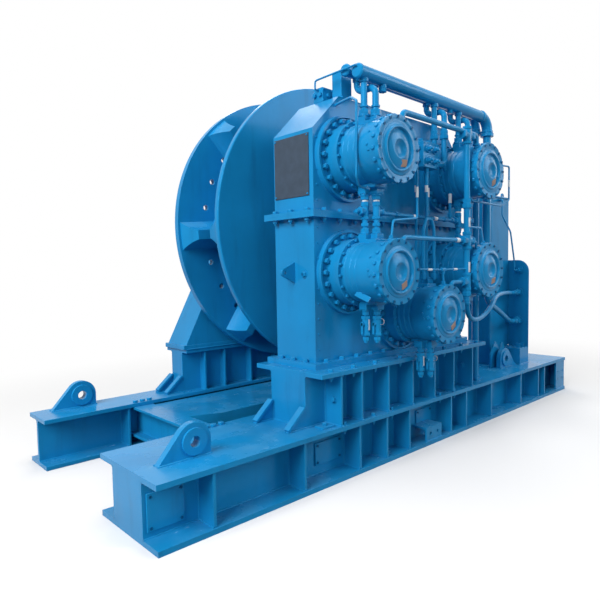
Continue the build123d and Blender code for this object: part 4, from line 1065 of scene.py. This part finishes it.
class HAULER_OT_tubes(bpy.types.Operator):
    """Bends the thin tubes between motors, case, tank and bulkhead."""

    bl_idname = "hauler.tubes"
    bl_label = "Bend the thin tubes"

    def execute(self, context):
        drain, pressure = RISER.y, PRESSURE_Y
        # Radius of each tube and the corners of its run
        runs = (
            (0.011, ((-1.239, -0.968, 3.060), (-1.239, -0.995, 3.068), (-1.300, -1.200, 3.060),
                     (-1.380, -1.330, 2.990), (-1.390, -1.330, 2.420), (-1.330, -1.300, 2.350),
                     (-1.180, -1.280, 2.350))),
            (0.010, ((-0.885, -1.470, 2.560), (-0.810, -1.480, 2.560), (-0.810, -1.480, 2.120),
                     (-1.130, -1.480, 2.085), (-1.157, -1.480, 1.925))),
            (0.016, ((-0.215, pressure, 2.700), (0.030, pressure, 2.690), (0.154, pressure, 2.560),
                     (0.154, pressure, CROSS_LEVEL))),
            (0.016, ((-0.232, pressure, 2.620), (-0.232, pressure, CROSS_LEVEL))),
            (0.016, ((-0.462, -1.300, 1.600), (-0.462, -1.300, 2.060), (-0.420, -1.300, 2.150),
                     (-0.340, -1.300, 2.150), (-0.298, -1.300, 2.060), (-0.298, -1.300, 1.600))),
            (0.009, ((-0.872, -1.455, 1.700), (-0.450, -1.460, 1.690), (RISER.x, drain, 1.695))),
            (0.009, ((-0.395, -1.461, 1.690), (-0.395, -1.465, 1.545))),
            (0.010, ((0.010, drain, 2.087), (0.250, -1.470, 2.085), (0.295, -1.470, 1.925))),
            (0.009, ((0.560, -1.450, 2.735), (0.860, -1.450, 2.750), (0.860, -1.450, 2.400),
                     (0.680, -1.450, 2.330), (0.120, -1.450, 2.340), (RISER.x, drain, 2.400))),
            (0.010, ((2.060, -0.715, 2.570), (2.020, -0.790, 2.570), (1.990, -0.800, 2.370),
                     (2.100, -0.860, 2.160), (2.165, -0.880, 1.800), (2.165, -0.880, 1.664),
                     (2.345, -0.880, 1.664))),
            (0.008, ((-1.190, -0.730, 3.250), (-1.240, -0.730, 3.250), (-1.240, -0.735, 3.320),
                     (-1.236, -1.200, 3.330))),
        )
        # Place, axis, width across flats and length of each nut
        nuts = (
            ((-1.157, -1.480, 1.925), UP, 0.034, 0.040), ((0.295, -1.470, 1.925), UP, 0.034, 0.040),
            ((-0.395, -1.465, 1.545), UP, 0.034, 0.045), ((-0.890, -1.470, 2.560), RIGHT, 0.034, 0.036),
            ((0.555, -1.450, 2.735), RIGHT, 0.034, 0.036), ((-1.195, -1.280, 2.350), LEFT, 0.036, 0.044),
            ((-0.462, -1.300, 1.606), UP, 0.046, 0.050), ((-0.298, -1.300, 1.606), UP, 0.046, 0.050),
            ((2.345, -0.880, 1.664), LEFT, 0.050, 0.090), ((2.165, -0.880, 1.700), UP, 0.034, 0.060),
            ((-0.868, -1.455, 1.700), RIGHT, 0.030, 0.034), ((2.060, -0.724, 2.570), FRONT, 0.034, 0.030),
            ((0.154, pressure, 2.205), UP, 0.046, 0.040), ((-0.232, pressure, 2.205), UP, 0.046, 0.040),
        )
        # Place, axis, tube radius and length of each band
        marks = (
            ((-0.810, -1.480, 2.290), UP, 0.010, 0.085), ((0.154, pressure, 2.345), UP, 0.016, 0.090),
            ((-0.232, pressure, 2.370), UP, 0.016, 0.085), ((-0.630, -1.4585, 1.692), RIGHT, 0.009, 0.060),
            ((-0.230, -1.4635, 1.6925), RIGHT, 0.009, 0.055), ((0.860, -1.450, 2.540), UP, 0.009, 0.070),
        )
        bm, bands = bmesh.new(), bmesh.new()
        for radius, route in runs:
            pipe_run(bm, route, radius)
        for nut in nuts:
            hex_nut(bm, *nut)
        tee(bm, (-0.395, -1.461, 1.690), RIGHT, DOWN, 0.012)
        for mark in marks:
            band(bands, *mark, steps=20)
        piece("thin_tubes", bm, "pipe_paint")
        piece("tube_bands", bands, "pale_band")
        return {"FINISHED"}


class HAULER_OT_valves(bpy.types.Operator):
    """Adds nuts, levers and seal rings to the valves under the motors."""

    bl_idname = "hauler.valves"
    bl_label = "Dress the valves"

    def execute(self, context):
        bm, seals, bands = bmesh.new(), bmesh.new(), bmesh.new()
        valve = (
            (collar, 0.0, 0.036, 0.014), (hex_nut, 0.012, 0.056, 0.034), (hex_nut, 0.052, 0.072, 0.030),
            (hex_nut, 0.190, 0.072, 0.028), (hex_nut, 0.226, 0.052, 0.034),
        )
        for drive, ports in ((DRIVES[1], PORTS), (DRIVES[2], LOW_PORTS)):
            level = drive.z - PORT_REACH
            tops = [Vector((drive.x + across, GEARBOX_FRONT + out, level)) for across, out in ports]
            for top in tops:
                stack(bm, top, DOWN, valve)
                collar(bm, top + DOWN * 0.120, LEFT, 0.016, 0.056, 16)
                slab(bm, top + DOWN * 0.150 + LEFT * 0.052, LEFT, DOWN, (0.105, 0.022, 0.008), 0.003)
            ring(seals, tops[1] + DOWN * 0.100 + FRONT * 0.044, RIGHT, 0.024, 0.0275, 0.004, 24)
            slab(bands, tops[0] + DOWN * 0.125 + FRONT * 0.033, FRONT, UP, (0.090, 0.016, 0.004), 0.001)
        lever, face, along = (-1.310, -1.314, 1.487), (-0.85, -0.18, 0.50), (0.0, -0.94, -0.34)
        slab(bm, lever, face, along, (0.150, 0.050, 0.014), 0.003)
        piece("valve_dressing", bm, "pipe_paint")
        piece("valve_seals", seals, "turned_steel")
        piece("valve_bands", bands, "pale_band")
        return {"FINISHED"}


class HAULER_OT_case(bpy.types.Operator):
    """Fits the dark plate, the plug and the bolt rows of the gear case."""

    bl_idname = "hauler.case"
    bl_label = "Fit out the gear case"

    def execute(self, context):
        plate, bm, dark = bmesh.new(), bmesh.new(), bmesh.new()
        plate_y, plate_z = -0.712, 2.558
        slab(plate, (CASE_LEFT - 0.003, plate_y, plate_z), LEFT, BACK, (0.425, 0.500, 0.010), 0.002)
        piece("case_plate", plate, "dark_plate")
        rivet = hex_bolt(0.014, 0.005, 1.2)
        corners = [(plate_y + y, plate_z + z) for y in (-0.198, 0.198) for z in (-0.234, 0.234)]
        set_out(bm, rivet, [(CASE_LEFT - 0.008, y, z) for y, z in corners], LEFT)
        plug = Vector((CASE_LEFT, -0.847, 1.670))
        set_out(bm, hex_bolt(0.046, 0.016, 1.5), [plug], LEFT)
        bolt, nut = hex_bolt(0.036, 0.022, 1.4), stud_nut(0.036, 0.026, 0.014)
        columns = [-1.420 + 0.187 * step for step in range(12)]
        case_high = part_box("upper_gear_case")[1]
        long_sides = [(x, y) for x in columns for y in (CASE_FRONT - 0.034, case_high.y - 0.033)]
        ends = [(x, y) for x in (CASE_LEFT - 0.0335, case_high.x - 0.0335) for y in (-0.926, -0.726, -0.526)]
        set_out(bm, nut, [(x, y, SPLIT_LEVEL - 0.028) for x, y in long_sides + ends], DOWN)
        set_out(bm, bolt, [(x, y, SPLIT_LEVEL + 0.028) for x, y in long_sides], UP)
        foot = [(x, CASE_FRONT - 0.032) for x in columns]
        foot += [(CASE_LEFT - 0.032, y) for y in (-0.880, -0.726, -0.572)]
        set_out(bm, bolt, [(x, y, CASE_FOOT) for x, y in foot], UP)
        for lowest, count in ((1.050, 9), (2.270, 5)):
            edge = [(CASE_LEFT + 0.038, CASE_FRONT, lowest + 0.125 * step) for step in range(count)]
            set_out(bm, rivet, edge, FRONT)
        piece("case_fasteners", bm, "plate_paint")
        # Dark screw at the plug's centre: painted shade of its socket
        set_out(dark, cap_screw(0.013, 0.004), [plug + LEFT * 0.021], LEFT)
        piece("case_plug_centre", dark, "screw_shade_paint")
        return {"FINISHED"}


class HAULER_OT_skid(bpy.types.Operator):
    """Sets the skid's small fasteners, the plates on the beam and the lugs at the bulkhead and tank."""

    bl_idname = "hauler.skid"
    bl_label = "Fit out the skid"

    def execute(self, context):
        bm, dark = bmesh.new(), bmesh.new()
        nut, bolt = stud_nut(0.034, 0.024, 0.016), hex_bolt(0.034, 0.020, 1.3)
        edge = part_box("near_beam")[0].y + 0.040
        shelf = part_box("near_pedestal")[1].z
        # Level and thickness of each flange, and where its bolts stand
        for level, thickness, row in (
            (BEAM_TOP, 0.038, (-1.382, -1.017, -0.767, 0.002, 0.260)),
            (shelf, 0.039, (-1.530, -1.270, -0.990, -0.640, -0.280, 0.080, 0.400, 0.700)),
        ):
            set_out(bm, nut, [(x, edge, level - thickness) for x in row], DOWN)
            set_out(bm, bolt, [(x, edge, level) for x in row], UP)
        set_out(bm, hex_bolt(0.046, 0.022, 1.5), ((-1.444, -1.111, 0.657), (0.578, -1.070, 0.655)), LEFT)
        slab(bm, (-1.545, -1.100, BEAM_TOP + 0.007), UP, RIGHT, (0.130, 0.100, 0.018), 0.004)
        set_out(bm, bolt, [(-1.545, -1.100, BEAM_TOP + 0.015)], UP)
        slab(bm, (0.915, -1.035, BEAM_TOP + 0.005), UP, RIGHT, (0.130, 0.090, 0.014), 0.003)
        set_out(bm, hex_bolt(0.024, 0.014), [(0.915, -1.035, BEAM_TOP + 0.012)], UP)
        # Dark screws on the web covers: painted shade in their sockets
        for low, high in solid_boxes("web_covers"):
            set_out(dark, cap_screw(0.011, 0.006), inset_corners(low, high, 0.024), FRONT)
        piece("web_cover_screws", dark, "screw_shade_paint")
        lug_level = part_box("bulkhead")[0].z + 0.238
        for x in (2.150, 2.260):
            slab(bm, (x, -0.950, lug_level), RIGHT, UP, (0.064, 0.060, 0.012), 0.004)
        low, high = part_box("oil_tank_lid")
        eye = Vector((high.x - 0.110, low.y + 0.060, low.z + 0.046))
        ring(bm, eye, BACK, 0.016, 0.036, 0.012, 24)
        slab(bm, eye + Vector((0.0, 0.006, -0.024)), BACK, UP, (0.030, 0.060, 0.012), 0.002)
        for z in (1.371, 0.998, 1.664):
            collar(bm, (BULKHEAD_FACE + 0.004, -0.877, z), LEFT, 0.052, 0.018)
        self.close_ends(bm)
        self.cap_gussets(bm)
        piece("skid_fittings", bm, "plate_paint")
        return {"FINISHED"}

    def cap_gussets(self, bm):
        """Flat bars along the slopes of the pedestals' end gussets."""
        rise, run = 0.172, 0.194
        for node, webs in (("near_pedestal", (-0.995, -0.593)), ("far_pedestal", (0.907, 1.097))):
            low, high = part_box(node)
            for foot, inward in ((low.x, 1.0), (high.x, -1.0)):
                slope = Vector((inward * run, 0.0, rise))
                out = Vector((-inward * rise, 0.0, run)).normalized()
                for y in webs:
                    middle = Vector((foot, y, BEAM_TOP)) + slope * 0.5 + out * 0.006
                    slab(bm, middle, out, slope, (slope.length - 0.030, 0.062, 0.026), 0.005)

    def close_ends(self, bm):
        """Plates in the near beam's outer channel, the forked plate and the far side's foot and screws."""
        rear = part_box("near_beam")[1].x
        rounded_box(bm, (rear - 0.022, -1.172, 0.036), (rear - 0.002, -1.002, BEAM_TOP - 0.036), 0.003)
        rounded_box(bm, (-0.537, -1.190, 0.034), (-0.515, -1.003, BEAM_TOP - 0.034), 0.002)
        fork = (
            (1.620, 0.440), (1.620, 0.615), (1.728, 0.770), (1.752, 0.768), (1.845, 0.655),
            (1.908, 0.748), (1.932, 0.746), (2.030, 0.600), (2.030, 0.440),
        )
        cut_plate(bm, [(x, -0.850, z) for x, z in fork], BACK * 0.022, 0.003)
        low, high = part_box("far_bearing_frame")
        near_corner = (low.x - 0.030, low.y - 0.004, low.z)
        far_corner = (high.x + 0.030, high.y + 0.018, low.z + 0.046)
        rounded_box(bm, near_corner, far_corner, 0.006)
        middle, back = node_middle("far_end_cover"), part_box("far_end_cover")[1].y
        spots = circle_places((middle.x, back, middle.z), BACK, 0.318, 16, 0.2)
        stamp(bm, cap_screw(0.018, 0.005), spots)


class HAULER_OT_welds(bpy.types.Operator):
    """Lays weld beads in the inside corners and round the feet of the fabricated pieces."""

    bl_idname = "hauler.welds"
    bl_label = "Lay the welds"

    def execute(self, context):
        leg = context.scene.hauler_sizes.weld_leg
        fabricated = [
            "near_beam", "far_beam", "front_cross_member", "middle_cross_member", "rear_cross_member",
            "near_pedestal", "far_pedestal", "far_bearing_frame",
        ]
        standing = [
            "near_pedestal", "far_pedestal", "near_padeyes", "far_padeyes", "bulkhead", "far_bearing_frame",
        ]
        for node in fabricated:
            bm = bmesh.new()
            for line in weld_lines(node, SHORTEST_CORNER):
                weld(bm, *line, leg)
            piece(f"{node}_welds", bm, "weld_paint", limit=WELD_SOFT)
        bm = bmesh.new()
        for node in standing:
            for line in weld_lines(node, SHORTEST_FOOT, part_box(node)[0].z):
                weld(bm, *line, leg * 1.2)
        piece("foot_welds", bm, "weld_paint", limit=WELD_SOFT)
        return {"FINISHED"}


class HAULER_OT_stage(bpy.types.Operator):
    """Sets the floor, the lights, the white surround and the camera."""

    bl_idname = "hauler.stage"
    bl_label = "Set the stage"

    def execute(self, context):
        stage = context.scene.hauler_stage
        self.lay_floor(context, stage)
        self.hang_lights(context)
        self.fill_world(context, stage)
        self.place_camera(context, stage)
        context.scene.view_settings.view_transform = "Standard"
        return {"FINISHED"}

    def lay_floor(self, context, stage):
        """Pale floor that fades to white and sends back little light."""
        bm = bmesh.new()
        bmesh.ops.create_grid(bm, x_segments=1, y_segments=1, size=FLOOR_REACH)
        mesh = bpy.data.meshes.new("floor")
        bm.to_mesh(mesh)
        bm.free()
        floor = bpy.data.objects.new("floor", mesh)
        context.scene.collection.objects.link(floor)
        shader = new_finish("pale_floor")
        spread = {0: shader.place((0.75, 1.0, 1.0))}
        distance = shader.node("ShaderNodeVectorMath", {"operation": "LENGTH"}, spread, output=1)
        fade = shader.step(distance, FADE_START, FADE_END)
        seen = seen_by_eye(shader)
        pale, dull = (
            shader.node("ShaderNodeBsdfDiffuse", inputs={"Color": (tone, tone, tone, 1.0)})
            for tone in (stage.floor_tone, stage.floor_bounce)
        )
        white = shader.node("ShaderNodeEmission", inputs={"Strength": 1.0})
        matt = shader.node("ShaderNodeMixShader", inputs={0: seen, 1: dull, 2: pale})
        both = shader.node("ShaderNodeMixShader", inputs={0: fade * seen, 1: matt, 2: white})
        shader.node("ShaderNodeOutputMaterial", inputs={"Surface": both})
        mesh.materials.append(finish("pale_floor"))

    def hang_lights(self, context):
        """Soft lamps round the hauler, all aimed at its middle."""
        target = Vector((0.0, 0.0, 1.3))
        # Name, place, width in metres and power in watts
        lamps = [
            ("key", (-12.0, -2.8, 8.5), 8.0, 2250.0),
            ("front", (8.0, -11.0, 7.5), 7.0, 880.0),
            ("fill", (-6.0, -12.0, 4.0), 8.0, 330.0),
            ("top", (0.0, 0.0, 11.0), 8.0, 490.0),
            ("rear", (7.0, 9.0, 10.0), 7.0, 520.0),
            ("right", (12.0, -2.0, 6.0), 6.0, 200.0),
        ]
        for name, place, size, power in lamps:
            light = bpy.data.lights.new(name, "AREA")
            light.size = size
            light.energy = power
            lamp = bpy.data.objects.new(name, light)
            lamp.location = place
            lamp.rotation_euler = (target - Vector(place)).to_track_quat("-Z", "Y").to_euler()
            context.scene.collection.objects.link(lamp)

    def fill_world(self, context, stage):
        """Surround that is white to the eye and gives a weak light."""
        world = bpy.data.worlds.new("surround")
        world.use_nodes = True
        context.scene.world = world
        shader = Shader(world.node_tree)
        strength = stage.ambient + seen_by_eye(shader) * (1.0 - stage.ambient)
        white = shader.node("ShaderNodeBackground", inputs={"Color": (1, 1, 1, 1), "Strength": strength})
        shader.node("ShaderNodeOutputWorld", inputs={"Surface": white})

    def place_camera(self, context, stage):
        """Camera at the photograph's viewing angle."""
        data = bpy.data.cameras.new("camera")
        data.lens = stage.lens
        data.shift_x = stage.shift_x
        data.shift_y = stage.shift_y
        camera = bpy.data.objects.new("camera", data)
        heading = Vector((math.cos(stage.camera_yaw), math.sin(stage.camera_yaw), 0.0))
        forward = heading * math.cos(stage.camera_pitch) + UP * math.sin(stage.camera_pitch)
        turned = forward.to_track_quat("-Z", "Y").to_matrix().to_4x4()
        camera.matrix_world = (
            Matrix.Translation(stage.camera_place) @ turned @ Matrix.Rotation(stage.camera_roll, 4, "Z")
        )
        context.scene.collection.objects.link(camera)
        context.scene.camera = camera


def seen_by_eye(shader):
    """1 for rays of the camera and of reflections, 0 for the light that falls on surfaces."""
    rays = [
        shader.node("ShaderNodeLightPath", output=name)
        for name in ("Is Camera Ray", "Is Glossy Ray", "Is Transmission Ray")
    ]
    both = shader.node("ShaderNodeMath", {"operation": "MAXIMUM"}, {0: rays[0], 1: rays[1]})
    return shader.node("ShaderNodeMath", {"operation": "MAXIMUM"}, {0: both, 1: rays[2]})


OPERATORS = (
    HAULER_OT_finishes,
    HAULER_OT_structure,
    HAULER_OT_wheel,
    HAULER_OT_gearboxes,
    HAULER_OT_motors,
    HAULER_OT_covers,
    HAULER_OT_pipework,
    HAULER_OT_fittings,
    HAULER_OT_tubes,
    HAULER_OT_valves,
    HAULER_OT_case,
    HAULER_OT_skid,
    HAULER_OT_welds,
    HAULER_OT_stage,
)


class HAULER_PT_panel(bpy.types.Panel):
    """Lists the steps that dress the hauler."""

    bl_idname = "HAULER_PT_panel"
    bl_label = "Chain hauler"
    bl_space_type = "VIEW_3D"
    bl_region_type = "UI"
    bl_category = "Hauler"

    def draw(self, context):
        for operator in OPERATORS:
            self.layout.operator(operator.bl_idname)


SETTINGS = {"hauler_paint": HaulerPaint, "hauler_sizes": HaulerSizes, "hauler_stage": HaulerStage}


def register():
    for group in SETTINGS.values():
        bpy.utils.register_class(group)
    for name, group in SETTINGS.items():
        setattr(bpy.types.Scene, name, PointerProperty(type=group))
    for operator in OPERATORS:
        bpy.utils.register_class(operator)
    bpy.utils.register_class(HAULER_PT_panel)


def unregister():
    bpy.utils.unregister_class(HAULER_PT_panel)
    for operator in reversed(OPERATORS):
        bpy.utils.unregister_class(operator)
    for name in SETTINGS:
        delattr(bpy.types.Scene, name)
    for group in SETTINGS.values():
        bpy.utils.unregister_class(group)


def main():
    register()
    for operator in OPERATORS:
        family, step = operator.bl_idname.split(".")
        getattr(getattr(bpy.ops, family), step)()


if __name__ == "__main__":
    main()
